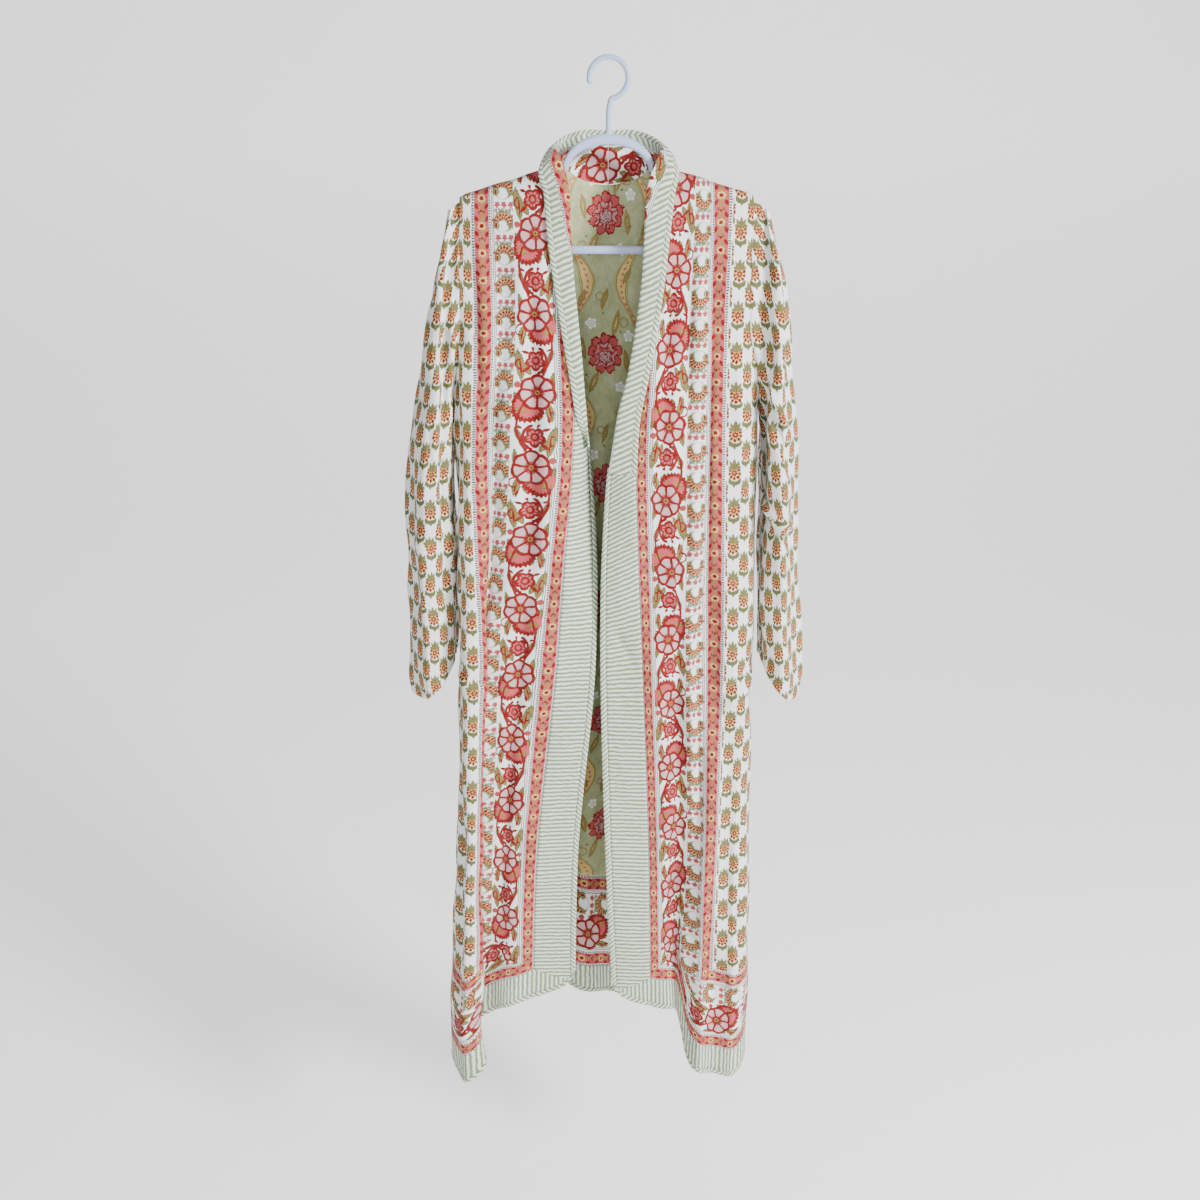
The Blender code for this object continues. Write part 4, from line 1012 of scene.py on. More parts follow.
def rows_between(parts):
    """Row parameter values from (start, end, count) stretches."""
    return np.concatenate([np.linspace(a, b, n, endpoint=False) for a, b, n in parts] + [[parts[-1][1]]])


# ---------------------------------------------------------------- pieces

# the strips from the front edge on, then the sprigs, and the cloth's back
PRINTS = ("pink_near", "vine", "paisley", "pink_far", "sprig", "lining")
# cells across or up each strip
STRIP_CELLS = [(0, 1, 8), (1, 2, 18), (2, 3, 12), (3, 4, 8)]


def front_pieces(side, kit):
    """A front: printed panel, striped band and mitred hem band, and the bias bindings round them."""
    hand = "right" if side < 0 else "left"
    flip = side < 0
    sizes = fine_sizes()

    def hem(s):
        return front_hem(side, s)

    def point(s, z):
        return front_point(side, s, z)

    def relief(s, z):
        return front_relief(side, s, z)

    def laid(s, z):
        return lifted(point, s, z, flip, relief)

    def both_faces(skin, normal, bulge=0.0):
        b = np.asarray(bulge)[..., None]
        return skin + normal * b, skin - normal * (WALL + b)

    # the panel: columns on the strips' ends, rows at even heights over the hem, then up to the shoulder
    ends = BAND + np.array([0.0, *STRIP_ENDS])
    ends_up = BAND + np.array([0.0, *(RIGHT_ENDS_UP if side < 0 else LEFT_ENDS_UP)])
    cs = rows_between([(0, 1, 12), (1, 2, 28), (2, 3, 18), (3, 4, 11), (4, 5, 40)])
    rs = rows_between([*STRIP_CELLS, (4, 5, 215)])
    c, r = np.meshgrid(cs, rs)
    printed = np.interp(np.minimum(c, 4), range(5), ends)
    upper = np.interp(np.minimum(c, 4), range(5), ends_up)
    heights = HEM_BAND + np.array([0.0, *STRIP_ENDS])
    beyond = np.clip(c - 4, 0, 1)

    def at(z):
        up = ease(-z, -0.70, -0.36)
        first = printed + (upper - printed) * up
        last = ends[-1] + (ends_up[-1] - ends[-1]) * up
        return first + beyond * (front_side(z) - GAP_FINE - last)

    up = np.interp(np.minimum(r, 4), range(5), heights)
    top = front_top(side, at(np.full_like(c, -0.16)))
    start = hem(at(np.full_like(c, -1.3))) + up
    z = start + np.clip(r - 4, 0, 1) * (top - start)
    s = at(z)
    skin, normal = laid(s, z)
    h = z - hem(s)
    mid_c, mid_r = (cs[1:] + cs[:-1]) / 2, (rs[1:] + rs[:-1]) / 2
    strip = np.minimum(np.floor(mid_c)[None, :], np.floor(mid_r)[:, None]).astype(int)
    # the strips keep their printed widths on the map; the left front's print starts lower
    flat_s = np.where(c <= 4, printed, s)
    flat_z = z - LEFT_PRINT_STARTS if side > 0 else -z
    maps = {"flat": np.stack([flat_s, flat_z], axis=-1), "hem": np.stack([h, side * s], axis=-1),
            "upright": np.stack([s, z], axis=-1)}
    outer, inner = both_faces(skin, normal)
    materials = [kit[key] for key in PRINTS]
    piece = wall(f"front_{hand}", outer, inner, maps, strip, materials, 5, 4)
    hang(piece, [f"front_{hand}"], flat_area(maps["upright"]))

    def edging(name, s, z, cut, flat=None, share=None):
        """A flat striped band, or a rolled binding where shares of its width are given."""
        skin, normal = laid(s, z)
        bulge, cloths, folded = 0.0, [kit["stripe"], kit["lining"]], 1
        if share is not None:
            bulge, cloths, folded = edge_bead(share, sizes.bead), [kit["bias"]], FOLDED
        maps = {"flat": cut if flat is None else flat}
        piece = wall(name, *both_faces(skin, normal, bulge), maps, 0, cloths, len(cloths) - 1, 0)
        hang(piece, [name], folded * flat_area(cut))

    # the striped band down the edge, its lower end mitred; the left band's stripes rise outwards
    # where it comes out from under the turned neck band
    band_top = BAND_TOPS[side] + 0.002
    ss, f = np.meshgrid(np.linspace(BINDING, BAND, 21), np.linspace(0, 1, 240))
    low = hem(ss) + BINDING + mitre(ss)
    z = low + (band_top - low) * f
    slant = 0.42 * (1 - ease(-z, 0.58, 0.86)) if side > 0 else 0.0
    edging(f"front_band_{hand}", ss, z, np.stack([ss, z], axis=-1),
           np.stack([ss, z - slant * ss], axis=-1))
    # the binding down the edge
    ss, f = np.meshgrid(np.linspace(0, BINDING, 9), np.linspace(0, 1, 300))
    low = hem(ss) + BINDING
    z = low + (band_top - low) * f
    edging(f"front_binding_{hand}", ss, z, np.stack([ss, z], axis=-1),
           share=ss / BINDING)
    # the hem band, its stripes upright, and the binding under it
    edge = np.concatenate([np.linspace(BINDING, BAND, 22)[:-1], np.linspace(BAND, SIDE_SEAM - GAP_FINE, 130)])
    ss, f = np.meshgrid(edge, np.linspace(0, 1, 13))
    h = BINDING + f * mitre(ss)
    edging(f"hem_band_{hand}", ss, hem(ss) + h, np.stack([h, ss], axis=-1))
    ss, f = np.meshgrid(np.concatenate([np.linspace(0, BINDING, 7)[:-1], edge]), np.linspace(0, 1, 8))
    h = f * BINDING
    edging(f"hem_binding_{hand}", ss, hem(ss) + h, np.stack([h, ss], axis=-1),
           share=f)


def mitre(s):
    """Height of the mitre seam above the hem binding, across the front band."""
    rise = (HEM_BAND - BINDING) / (BAND - BINDING)
    return np.clip((s - BINDING) * rise, 0.0006, HEM_BAND - BINDING)


def back_pieces(kit):
    """The back: printed outer panel, sage lining and printed facing inside it, striped hem band and
    binding round both layers."""
    sizes = fine_sizes()

    def point(u, z):
        return back_point(u * back_half(z) / BACK_HALF, z)

    def hem(u):
        return curve(u, *BACK_HEM)

    def relief(u, z):
        return drape(u, z, 11, 0.8 * sizes.drape) * ease(-z, 0.15, 0.30)

    def laid(u, z):
        return lifted(point, u, z, True, relief)

    def flat(u, z):
        return np.stack([u * back_half(z) / BACK_HALF, z], axis=-1)

    us = np.linspace(-1, 1, 141) * BACK_HALF
    heights = HEM_BAND + np.array([0.0, *STRIP_ENDS])
    rs = rows_between([*STRIP_CELLS, (4, 5, 190)])
    u, r = np.meshgrid(us, rs)
    top = back_top(u * BACK_HALF_TOP / BACK_HALF)
    start = hem(u) + np.interp(np.minimum(r, 4), range(5), heights)
    z = start + np.clip(r - 4, 0, 1) * (top - start)
    skin, normal = laid(u, z)
    cut = flat(u, z)
    strip = strip_of(rs, len(us))
    maps = {"flat": cut + (2.0, 0.0), "hem": np.stack([z - hem(u), u], axis=-1), "upright": cut}
    materials = [kit[key] for key in PRINTS]
    piece = wall("back", skin, skin - normal * WALL, maps, strip, materials, 5, 4)
    hang(piece, ["back"], flat_area(cut))

    inside = WALL + LINING_GAP
    both_layers = DOUBLE + inside - 0.0011
    u, f = np.meshgrid(us[2:-2], np.linspace(0, 1, 210))
    low, top = hem(u) + FACING_TOP, back_top(u * BACK_HALF_TOP / BACK_HALF)
    z = low + (top - low) * f
    skin, normal = laid(u, z)
    cut = flat(u, z)
    piece = wall("back_lining", skin - normal * inside, skin - normal * (inside + WALL), {"flat": cut}, 0,
                 [kit["lining"]], 0, 0)
    hang(piece, ["back_lining"], flat_area(cut))

    rs = rows_between(STRIP_CELLS)
    u, r = np.meshgrid(us[2:-2], rs)
    tall = (FACING_TOP - HEM_BAND) / STRIP_ENDS[-1]
    h = np.interp(r, range(5), heights)
    z = hem(u) + HEM_BAND + (h - HEM_BAND) * tall
    skin, normal = laid(u, z)
    strip = strip_of(rs, u.shape[1])
    maps = {"flat": flat(u, z) + (2.0, 0.0), "hem": np.stack([h, u + 0.030], axis=-1), "upright": flat(u, z)}
    piece = wall("back_border_facing", skin - normal * inside, skin - normal * (inside + WALL), maps, 4,
                 materials, 4, 4)
    inner_faces(piece, strip)
    hang(piece, ["back_border_facing"],
         flat_area(flat(u, z)))

    u, f = np.meshgrid(us, np.linspace(0, 1, 12))
    h = BINDING + f * (HEM_BAND - BINDING)
    skin, normal = laid(u, hem(u) + h)
    cut = np.stack([h, u], axis=-1)
    piece = wall("back_hem_band", skin, skin - normal * (both_layers), {"flat": cut}, 0,
                 [kit["stripe"]], 0, 0)
    hang(piece, ["back_hem_band"], flat_area(cut))
    u, f = np.meshgrid(us, np.linspace(0, 1, 8))
    h = f * BINDING
    skin, normal = laid(u, hem(u) + h)
    cut = np.stack([h, u], axis=-1)
    bulge = edge_bead(f, sizes.bead)[..., None]
    piece = wall("back_hem_binding", skin + normal * bulge, skin - normal * (both_layers + bulge),
                 {"flat": cut}, 0, [kit["bias"]], 0, 0)
    hang(piece, ["back_hem_binding"], FOLDED * flat_area(cut))


def inner_faces(piece, strip):
    """Gives the cells on a wall's inner grid the slots of the strips."""
    polygons = piece.data.polygons
    slots = np.empty(len(polygons), np.int32)
    polygons.foreach_get("material_index", slots)
    count = strip.size
    slots[count:2 * count] = strip.ravel()
    polygons.foreach_set("material_index", slots)


def sleeve_pieces(side, kit):
    """A sleeve and the narrow binding at its cuff: a tube with lengthwise folds near the body,
    creases at the elbow and a rolled edge."""
    hand = "right" if side < 0 else "left"
    sizes = fine_sizes()

    def point(q, z):
        return sleeve_point(side, q, z)

    def relief(q, z):
        total = drape(q * 0.30, z, 21 + side, 1.1 * sizes.drape)
        for start, end, width, depth in RIGHT_SLEEVE_CREASES if side < 0 else LEFT_SLEEVE_CREASES:
            total += crease(q * 0.3, z, start, end, width, depth)
        ends = ease(q, 0.0, 0.06) * (1 - ease(q, 0.94, 1.0))
        return 1.25 * total * (0.15 + 0.85 * ends) * ease(-z, 0.165, 0.23)

    def flat(skin, z):
        """Distance round the tube from its outer fold, and height."""
        step = np.linalg.norm(np.diff(skin, axis=1), axis=-1)
        round_it = np.concatenate([np.zeros((len(step), 1)), np.cumsum(step, axis=1)], axis=1)
        middle = round_it.shape[1] // 2
        return np.stack([round_it - round_it[:, middle:middle + 1] + 0.35, z], axis=-1)

    fine = np.linspace(0, 1, 111)
    q, f = np.meshgrid(fine, np.linspace(0, 1, 190))
    low, top = cuff_z(q) + BINDING, sleeve_top(q)
    z = low + (top - low) * f
    skin, normal = lifted(point, q, z, side < 0, relief)
    cut = flat(skin, z)
    piece = wall(f"sleeve_{hand}", skin, skin - normal * WALL, {"flat": cut, "upright": cut}, 0,
                 [kit["sprig"], kit["lining"]], 1, 0)
    area = flat_area(cut)
    hang(piece, [f"sleeve_{hand}"], area)
    q, f = np.meshgrid(fine, np.linspace(0, 1, 8))
    z = cuff_z(q) + f * BINDING
    skin, normal = lifted(point, q, z, side < 0, relief)
    cut = flat(skin, z)
    bulge = edge_bead(f, 0.7 * sizes.bead)[..., None]
    piece = wall(f"cuff_binding_{hand}", skin + normal * bulge, skin - normal * (WALL + bulge),
                 {"upright": cut}, 0, [kit["sprig"]], 0, 0)
    area = FOLDED * flat_area(cut)
    hang(piece, [f"cuff_binding_{hand}"], area)


def collar_piece(side, kit):
    """Half of the neck band: it stands round the back of the neck and turns outwards down the front.
    Its width runs from the free edge over bias binding and stripes to the printed cloth."""
    hand = "right" if side < 0 else "left"
    sizes = fine_sizes()
    a = np.linspace(0.0003, 1, 260)
    fine = np.linspace(0, 1, 201)
    grid_a, grid_b = np.meshgrid(a, fine, indexing="ij")
    path = collar_point(side, grid_a, grid_b)
    step = np.linalg.norm(np.diff(path, axis=1), axis=-1)
    width = np.concatenate([np.zeros((len(a), 1)), np.cumsum(step, axis=1)], axis=1)
    total = width[:, -1]
    # widths from the free edge in: the binding, the stripes, the second printed strip
    bias = np.interp(a, [0, 0.5, 1], [0.0062, 0.0066, 0.0072])
    if side < 0:
        striped = np.interp(a, [0, 0.16, 0.30, 0.42, 0.55, 1], [0.010, 0.0105, 0.0125, 0.020, 0.060, 0.060])
        second = 0.0004 + 0.0216 * ease(a, 0.02, 0.12)
    else:
        striped = np.interp(a, [0, 0.16, 0.26, 0.36, 0.48, 1], [0.010, 0.0100, 0.0125, 0.024, 0.060, 0.060])
        second = np.zeros_like(a) + 0.0004
    edges = np.stack([np.zeros_like(a), total - bias - striped - second, total - bias - striped,
                      total - bias, total])
    edges[1] = np.clip(edges[1], 0.0008, None)
    edges[2] = np.clip(edges[2], edges[1] + 0.0004, None)
    edges = np.minimum(edges, np.stack([total * k for k in (0, 1, 1, 1, 1)]))
    cs = rows_between([(0, 1, 22), (1, 2, 12), (2, 3, 16), (3, 4, 7)])
    w = np.stack([np.interp(cs, range(5), edges[:, i]) for i in range(len(a))])
    b = np.stack([np.interp(w[i], width[i], fine) for i in range(len(a))])
    aa = np.broadcast_to(a[:, None], b.shape)
    base = collar_point(side, aa, b)
    length = np.concatenate([[0], np.cumsum(np.linalg.norm(np.diff(path[:, -30], axis=0), axis=-1))])
    ll = np.broadcast_to(length[:, None], b.shape)
    normal = grid_normals(base)
    if normal[len(a) // 2, -5, 1] > 0:
        normal = -normal
    from_edge = total[:, None] - w
    # gathers beside the binding's seam, and the seam's own groove
    off_seam = from_edge - bias[:, None]
    beat = np.sin(2 * np.pi * ll / 0.0105 + 2 * np.sin(ll * 37))
    relief = 0.00035 * beat * np.exp(-(off_seam / 0.003) ** 2) - 0.0005 * np.exp(-(off_seam / 0.0009) ** 2)
    relief += drape(w, ll, 31 + side, 0.30 * sizes.drape)
    skin = base + normal * relief[..., None]
    bulge = edge_bead(np.clip(from_edge / bias[:, None], 0, 1), 0.55 * sizes.bead)[..., None]
    zone = strip_of(cs, len(a)).T
    # printed cloth: the pink strip is squeezed into its share, the vine strip follows at full size
    printed = from_edge - (bias + striped)[:, None]
    on_print = cs[None, :] <= 2.0
    pink = np.clip(printed / second[:, None], 0, 1) * STRIP_ENDS[0]
    vine = np.maximum(printed - second[:, None], 0)
    place = np.where(on_print, BAND + pink + vine, from_edge)
    flat = np.stack([place, np.where(on_print, -side * ll, side * ll)], axis=-1)
    maps = {"flat": flat, "hem": np.stack([np.full_like(ll, 5.0), ll], axis=-1)}
    materials = [kit["vine"], kit["pink_near"] if side < 0 else kit["vine"], kit[f"collar_stripe_{hand}"],
                 kit["collar_bias"]]
    piece = wall(f"collar_{hand}", skin + normal * bulge, skin - normal * (WALL + bulge), maps, zone,
                 materials, 2, 3)
    area = float(np.mean(total) * length[-1])
    hang(piece, [f"collar_{hand}"], area)


def rounded_rod(path, half, power=3.2):
    """A closed rod along a path in the plane y = 0: its section is a rounded rectangle of 40 corners,
    |x/a|^n + |y/b|^n = 1, carried along.  Both ends close in over a few rings to a flat cap."""
    path = np.asarray(path, float)
    step = np.gradient(path, axis=0)
    step /= np.linalg.norm(step, axis=1, keepdims=True)
    depth = np.array([0.0, 1.0, 0.0])
    across = np.cross(step, depth)
    across /= np.linalg.norm(across, axis=1, keepdims=True)
    t = np.linspace(0, 2 * np.pi, 40, endpoint=False)
    c, s = np.cos(t), np.sin(t)
    r = (np.abs(c) ** power + np.abs(s) ** power) ** (-1 / power)
    half = np.broadcast_to(np.asarray(half, float), (len(path), 2))
    caps = np.array([0.0, 0.45, 0.78, 0.95])
    first = path[0] - step[0] * half[0, 1] * (1 - caps)[:, None]
    last = path[-1] + step[-1] * half[-1, 1] * (1 - caps[::-1])[:, None]
    closing = np.sqrt(1 - (1 - caps) ** 2)
    shrink = np.maximum(np.concatenate([closing, np.ones(len(path)), closing[::-1]]), 0.02)
    centre = np.concatenate([first, path, last])
    sizes = np.concatenate([np.repeat(half[:1], 4, 0), half, np.repeat(half[-1:], 4, 0)]) * shrink[:, None]
    side = np.concatenate([np.repeat(across[:1], 4, 0), across, np.repeat(across[-1:], 4, 0)])
    ring = (centre[:, None] + side[:, None] * (sizes[:, 0, None] * r * c)[..., None]
            + depth * (sizes[:, 1, None] * r * s)[..., None])
    index = np.arange(len(centre) * 40).reshape(-1, 40)
    a, b = index[:-1], index[1:]
    faces = np.stack([a, b, np.roll(b, -1, 1), np.roll(a, -1, 1)], axis=-1).reshape(-1, 4)
    # each cap is a row of quads between opposite corners of its ring
    k = np.arange(19)
    cap = np.stack([k, k + 1, 38 - k, 39 - k], axis=-1)
    return ring.reshape(-1, 3), np.concatenate([faces, index[0][cap], index[-1][cap[:, ::-1]]])


def smooth_path(points, count):
    """A path through points, evenly spaced by length, each coordinate a smooth curve of length."""
    p = np.asarray(points, float)
    length = np.concatenate([[0], np.cumsum(np.linalg.norm(np.diff(p, axis=0), axis=1))])
    t = np.linspace(0, length[-1], count)
    return np.stack([curve(t, length, p[:, i]) for i in range(3)], axis=-1)


def hanger_pieces(kit):
    """The hanger, moulded in one: hook, arch, sloping arms with rounded ends, and the straight bar."""
    turn = np.radians(np.linspace(-80, 190, 60))
    bow = (HOOK_RADIUS + WIRE) * np.stack([np.cos(turn), 0 * turn, np.sin(turn)], axis=1)
    bow[:, 2] -= HOOK_RADIUS
    shank = np.array([[0, 0, -0.0885], [0, 0, -0.070], [0, 0, -0.060], [0.001, 0, -0.051]])
    hook_path = smooth_path(np.concatenate([shank, bow]), 120)
    swell = np.clip(1 - (hook_path[:, 2] + 0.0885) / 0.016, 0, 1) ** 2
    swell *= (np.arange(len(hook_path)) < 40)
    hook_half = np.stack([WIRE * (1 + 1.2 * swell), np.full(len(hook_path), WIRE)], axis=1)
    swing = np.radians(np.linspace(176, 4, 90))
    arch = np.stack([ARCH_HALF * np.cos(swing), 0 * swing, ARCH_BASE + ARCH_RISE * np.sin(swing)], axis=1)
    across = ARCH_SIZE + ARCH_SWELL * np.sin(swing) ** 2
    arch_half = np.stack([across, np.full_like(across, ARCH_SIZE)], axis=1)
    rods = [rounded_rod(hook_path, hook_half, power=2.2), rounded_rod(arch, arch_half)]
    for side in (-1, 1):
        x = np.array([0.0525, 0.058, 0.064, 0.072, 0.095, 0.120, 0.150, 0.166])
        z = np.array([-0.1215, -0.1235, -0.1280, -0.1320, *(shoulder_z(x[4:]) - ARM_BELOW)])
        bend = np.radians(np.linspace(70, -84, 12))
        tip = np.stack([BEND_X + BEND_RADIUS * np.cos(bend),
                        BEND_Z + (BEND_RADIUS + 0.006) * np.sin(bend)], axis=1)
        path = np.concatenate([np.stack([x, z], axis=1), tip])
        path = np.stack([side * path[:, 0], 0 * path[:, 0], path[:, 1]], axis=1)
        rods.append(rounded_rod(smooth_path(path, 90), ARM_SIZE))
    end = BEND_X + BEND_RADIUS * np.cos(bend[-1])
    bar = np.stack([np.linspace(-end, end, 60), np.zeros(60), np.full(60, BAR_Z)], axis=1)
    rods.append(rounded_rod(bar, BAR_SIZE))
    points, faces, start = [], [], 0
    for ring, quads in rods:
        faces.append(facing_out(ring, quads) + start)
        points.append(ring)
        start += len(ring)
    faces = np.concatenate(faces)
    piece = make_mesh("hanger", np.concatenate(points), faces, np.zeros(len(faces)), [kit["plastic"]])
    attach(piece, "root")
    names = ["hanger_hook", "hanger_arch", "hanger_arm_right", "hanger_arm_left", "hanger_bar"]
    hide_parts(*names)


# ---------------------------------------------------------------- add-on

def shade(name, description, red, green, blue):
    """A colour property whose default is a screen colour."""
    return bpy.props.FloatVectorProperty(name=name, description=description, subtype="COLOR", size=3,
                                         min=0.0, max=1.0, default=linear(red, green, blue))


class RobeColours(bpy.types.PropertyGroup):
    """Cloths, inks and plastic."""
    white: shade("White", "Ground of the printed cotton", 230, 235, 232)
    stripe_pale: shade("Stripe ground", "Pale stripes of the bands", 212, 222, 210)
    sage: shade("Sage", "Dark stripes of the bands", 122, 138, 104)
    red: shade("Red", "Outlines of the vine and petals of the pink strips", 120, 10, 8)
    brick: shade("Brick red", "Petals of the sprigs", 108, 16, 7)
    pink: shade("Pink", "Ground of the pink strips and leaves", 178, 78, 80)
    blush: shade("Blush", "Filling of the large flowers", 192, 160, 162)
    olive: shade("Olive", "Leaves", 90, 92, 52)
    tan: shade("Tan", "Leaves and stems", 142, 118, 64)
    yellow: shade("Yellow", "Young leaves in the pink ones", 172, 144, 64)
    orange: shade("Orange", "Glow round the petals of the sprigs", 204, 140, 86)
    cream: shade("Cream", "Paisleys and stems of the lining", 212, 186, 116)
    grey: shade("Grey", "Thin lines beside the borders", 84, 76, 68)
    dark: shade("Dark brown", "Dashes and dots", 46, 33, 28)
    rose: shade("Rose", "Outer petals of the peonies", 192, 82, 84)
    crimson: shade("Crimson", "Outlines of the peonies", 128, 9, 22)
    lining: shade("Lining", "Pale part of the mottled lining", 180, 186, 146)
    lining_dark: shade("Lining, dark", "Dark part of the mottled lining", 154, 162, 118)
    plastic: shade("Plastic", "Hanger", 166, 180, 214)


class RobeSizes(bpy.types.PropertyGroup):
    """Sizes of the fine shapes that are added to the CAD form."""
    drape: bpy.props.FloatProperty(name="Unevenness", description="Strength of the small soft folds",
                                   default=2.0, min=0.0, max=3.0, subtype="FACTOR")
    pucker: bpy.props.FloatProperty(name="Seam puckers", description="Height of the gathers along a seam",
                                    default=0.0005, min=0.0, max=0.002, unit="LENGTH")
    bead: bpy.props.FloatProperty(name="Edge roll", description="Rise of the bound edges",
                                  default=0.0010, min=0.0, max=0.003, unit="LENGTH")
    stripe: bpy.props.FloatProperty(name="Stripe", description="Width of a dark and a pale stripe, mm",
                                    default=6.2, min=2.0, max=20.0)


class StageSettings(bpy.types.PropertyGroup):
    """Floor, lights and camera."""
    floor: bpy.props.FloatProperty(name="Floor", description="Height of the floor", default=-1.72,
                                   unit="LENGTH")
    light: bpy.props.FloatProperty(name="Light", description="Strength of all lights", default=1.0,
                                   min=0.0, max=5.0)
    glow: bpy.props.FloatProperty(name="Backdrop glow", description="Light given off by the paper",
                                  default=0.7, min=0.0, max=8.0)
    camera: bpy.props.FloatVectorProperty(name="Camera", description="Place of the camera", size=3,
                                          default=(-0.0103, -1.67, -0.075), subtype="TRANSLATION",
                                          unit="LENGTH")
    pitch: bpy.props.FloatProperty(name="Pitch", description="How far the camera looks down",
                                   default=float(np.radians(20)), subtype="ANGLE")
    lens: bpy.props.FloatProperty(name="Lens", description="Focal length, millimetres", default=39.0,
                                  min=10.0, max=200.0)


def cloth_kit(context):
    """The materials of the robe, each made once."""
    ink = inks(context)
    stripe = context.scene.robe_sizes.stripe
    makers = {
        "sprig": lambda name: sprig_cotton(ink, name),
        "pink_near": lambda name: pink_border(ink, name, 0.0),
        "vine": lambda name: vine_border(ink, name, STRIP_ENDS[0] * 1000),
        "paisley": lambda name: paisley_border(ink, name, STRIP_ENDS[1] * 1000),
        "pink_far": lambda name: pink_border(ink, name, STRIP_ENDS[2] * 1000),
        "stripe": lambda name: striped_cotton(ink, name, 0.0, stripe),
        "bias": lambda name: striped_cotton(ink, name, 45.0, stripe * 0.8),
        "collar_stripe_right": lambda name: striped_cotton(ink, name, 20.0, stripe * 1.08),
        "collar_stripe_left": lambda name: striped_cotton(ink, name, 29.0, stripe * 1.08),
        "collar_bias": lambda name: striped_cotton(ink, name, -42.0, stripe * 0.8),
        "lining": lambda name: lining_cotton(ink, name),
        "plastic": lambda name: moulded_plastic(ink, name),
    }
    return {key: bpy.data.materials.get(f"robe_{key}") or make(f"robe_{key}") for key, make in makers.items()}


class ROBE_OT_hanger(bpy.types.Operator):
    """Build the plastic hanger"""
    bl_idname = "robe.hanger"
    bl_label = "Hanger"

    def execute(self, context):
        hanger_pieces(cloth_kit(context))
        return {"FINISHED"}


class ROBE_OT_fronts(bpy.types.Operator):
    """Build both fronts with their striped bands and bindings"""
    bl_idname = "robe.fronts"
    bl_label = "Fronts"

    def execute(self, context):
        for side in (-1, 1):
            front_pieces(side, cloth_kit(context))
        return {"FINISHED"}


class ROBE_OT_back(bpy.types.Operator):
    """Build the back, its lining, facing, hem band and binding"""
    bl_idname = "robe.back"
    bl_label = "Back"

    def execute(self, context):
        back_pieces(cloth_kit(context))
        return {"FINISHED"}


class ROBE_OT_sleeves(bpy.types.Operator):
    """Build both sleeves and their cuff bindings"""
    bl_idname = "robe.sleeves"
    bl_label = "Sleeves"

    def execute(self, context):
        for side in (-1, 1):
            sleeve_pieces(side, cloth_kit(context))
        return {"FINISHED"}


class ROBE_OT_collars(bpy.types.Operator):
    """Build both halves of the neck band"""
    bl_idname = "robe.collars"
    bl_label = "Neck band"

    def execute(self, context):
        for side in (-1, 1):
            collar_piece(side, cloth_kit(context))
        return {"FINISHED"}


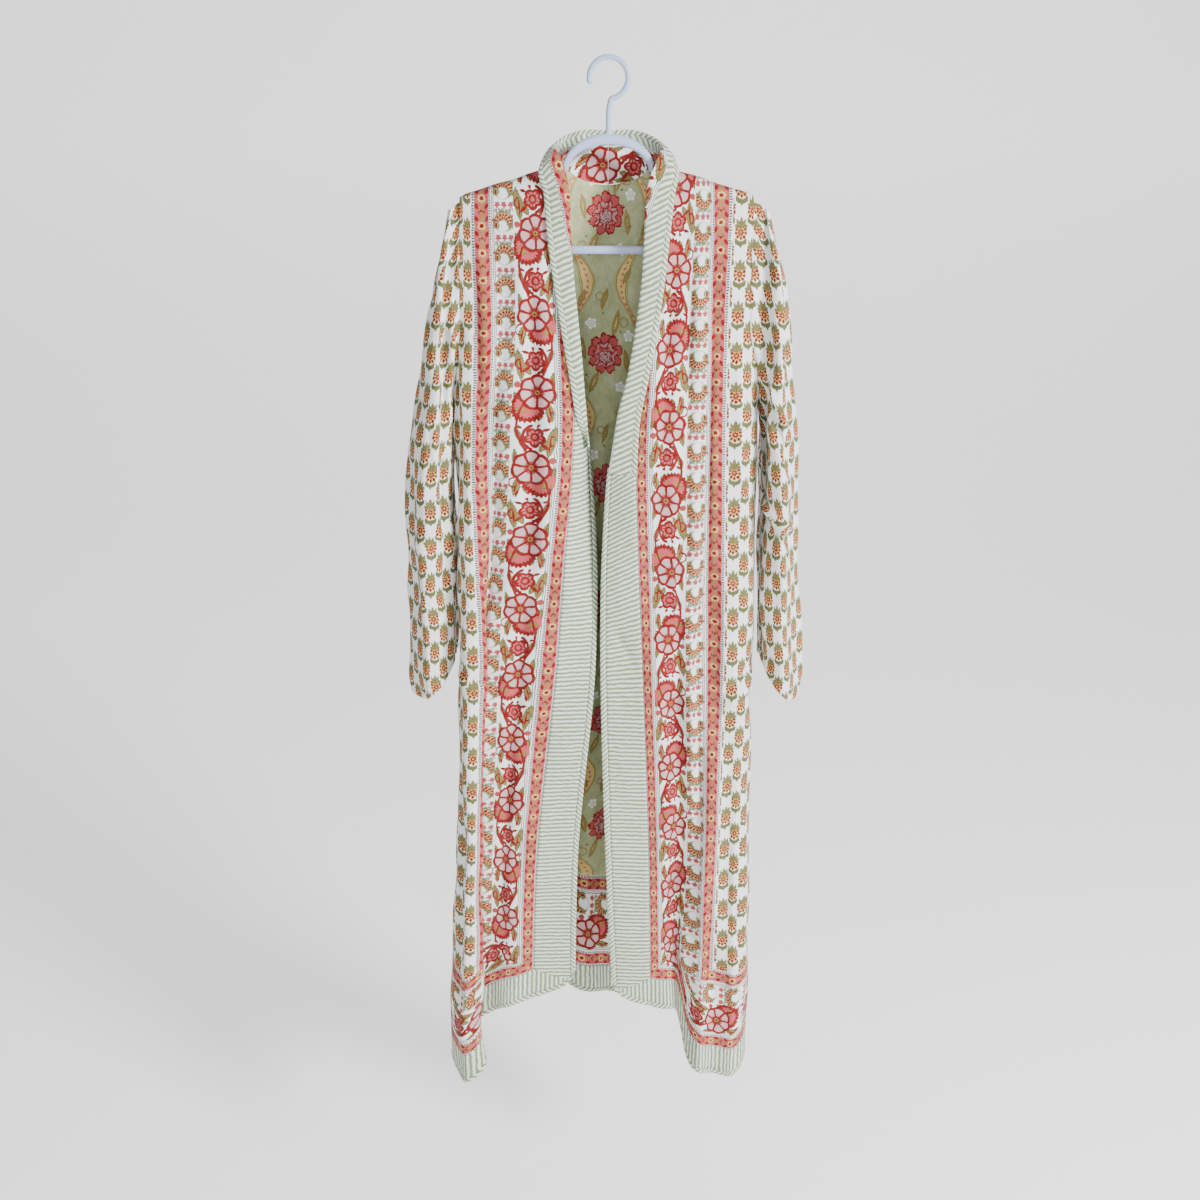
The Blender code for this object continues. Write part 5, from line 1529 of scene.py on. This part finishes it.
class ROBE_OT_stage(bpy.types.Operator):
    """Set up the pale floor, the soft lights and the camera"""
    bl_idname = "robe.stage"
    bl_label = "Stage"

    def execute(self, context):
        stage = context.scene.robe_stage
        # a floor that sweeps up into the backdrop: straight, a quarter circle, straight
        bend = np.radians(np.linspace(0, 90, 25))
        radius, far = 1.6, 2.6
        y = np.concatenate([[-7.0], far + radius * np.sin(bend), [far + radius]])
        z = np.concatenate([[0.0], radius * (1 - np.cos(bend)), [6.0]]) + stage.floor
        x = np.linspace(-8, 8, 9)
        points = np.stack([np.broadcast_to(x, (len(y), 9)), np.broadcast_to(y[:, None], (len(y), 9)),
                           np.broadcast_to(z[:, None], (len(y), 9))], axis=-1)
        index = np.arange(len(y) * 9).reshape(len(y), 9)
        faces = np.stack([index[:-1, :-1], index[:-1, 1:], index[1:, 1:], index[1:, :-1]], axis=-1)
        r = Recipe("studio_paper", 0.9, 0.0)
        r.shader.inputs["Emission Color"].default_value = (1.0, 0.995, 0.985, 1.0)
        r.shader.inputs["Emission Strength"].default_value = stage.glow
        place = r.node("ShaderNodeTexCoord", output=3)
        haze = r.node("ShaderNodeTexNoise", None, {"Vector": place, "Scale": 0.8, "Detail": 2.0})
        tone = r.node("ShaderNodeMix", {"data_type": "RGBA"},
                      {0: haze, 6: (*linear(252, 251, 249), 1.0), 7: (*linear(249, 248, 246), 1.0)}, output=2)
        r.tree.links.new(tone.socket, r.shader.inputs["Base Color"])
        floor = make_mesh("floor", points.reshape(-1, 3), faces.reshape(-1, 4), np.zeros(faces[..., 0].size),
                          [r.material])
        # lights: name, place, aim, width, power
        lights = (("key", (2.3, -1.9, 0.6), (0.0, 0.0, -0.62), 0.8, 212.0),
                  ("fill", (-2.2, -2.4, 0.2), (0.0, 0.0, -0.6), 2.0, 12.0),
                  ("front", (0.0, -3.1, 0.0), (0.0, 0.0, -0.75), 1.0, 36.0),
                  ("top", (0.2, -0.2, 2.3), (0.0, 0.0, -0.5), 1.6, 20.0))
        for name, place, aim, width, power in lights:
            lamp = bpy.data.lights.new(name, "AREA")
            lamp.size = width
            lamp.energy = power * stage.light
            obj = bpy.data.objects.new(name, lamp)
            obj.location = place
            way = np.array(aim) - np.array(place)
            flat = np.hypot(way[0], way[1])
            obj.rotation_euler = (np.arctan2(flat, -way[2]), 0.0, np.arctan2(-way[0], way[1]))
            context.scene.collection.objects.link(obj)
        world = bpy.data.worlds.new("studio")
        world.use_nodes = True
        world.node_tree.nodes["Background"].inputs[0].default_value = (1.0, 1.0, 1.0, 1.0)
        world.node_tree.nodes["Background"].inputs[1].default_value = 0.16 * stage.light
        context.scene.world = world
        camera = bpy.data.cameras.new("camera")
        camera.lens = stage.lens
        camera.sensor_width = 36.0
        obj = bpy.data.objects.new("camera", camera)
        obj.location = stage.camera
        obj.rotation_euler = (np.pi / 2 - stage.pitch, 0.0, 0.0)
        context.scene.collection.objects.link(obj)
        context.scene.camera = obj
        return {"FINISHED"}


class ROBE_PT_panel(bpy.types.Panel):
    """The robe's steps and settings"""
    bl_label = "Block-Printed Robe"
    bl_idname = "ROBE_PT_panel"
    bl_space_type = "VIEW_3D"
    bl_region_type = "UI"
    bl_category = "Robe"

    def draw(self, context):
        for step in STEPS:
            self.layout.operator(step.bl_idname)
        for group in (context.scene.robe_sizes, context.scene.robe_colours, context.scene.robe_stage):
            box = self.layout.box()
            for key in group.bl_rna.properties.keys():
                if key not in ("rna_type", "name"):
                    box.prop(group, key)


STEPS = (ROBE_OT_hanger, ROBE_OT_fronts, ROBE_OT_back, ROBE_OT_sleeves, ROBE_OT_collars, ROBE_OT_stage)
GROUPS = {"robe_sizes": RobeSizes, "robe_colours": RobeColours, "robe_stage": StageSettings}


def register():
    """Adds the settings, the steps and the panel."""
    for group in GROUPS.values():
        bpy.utils.register_class(group)
    for cls in (*STEPS, ROBE_PT_panel):
        bpy.utils.register_class(cls)
    for key, group in GROUPS.items():
        setattr(bpy.types.Scene, key, bpy.props.PointerProperty(type=group))


def unregister():
    """Takes the settings, the steps and the panel away."""
    for key in GROUPS:
        delattr(bpy.types.Scene, key)
    for cls in (ROBE_PT_panel, *reversed(STEPS), *GROUPS.values()):
        bpy.utils.unregister_class(cls)


def main():
    """Runs every step."""
    register()
    for step in STEPS:
        area, name = step.bl_idname.split(".")
        getattr(getattr(bpy.ops, area), name)()


if __name__ == "__main__":
    main()
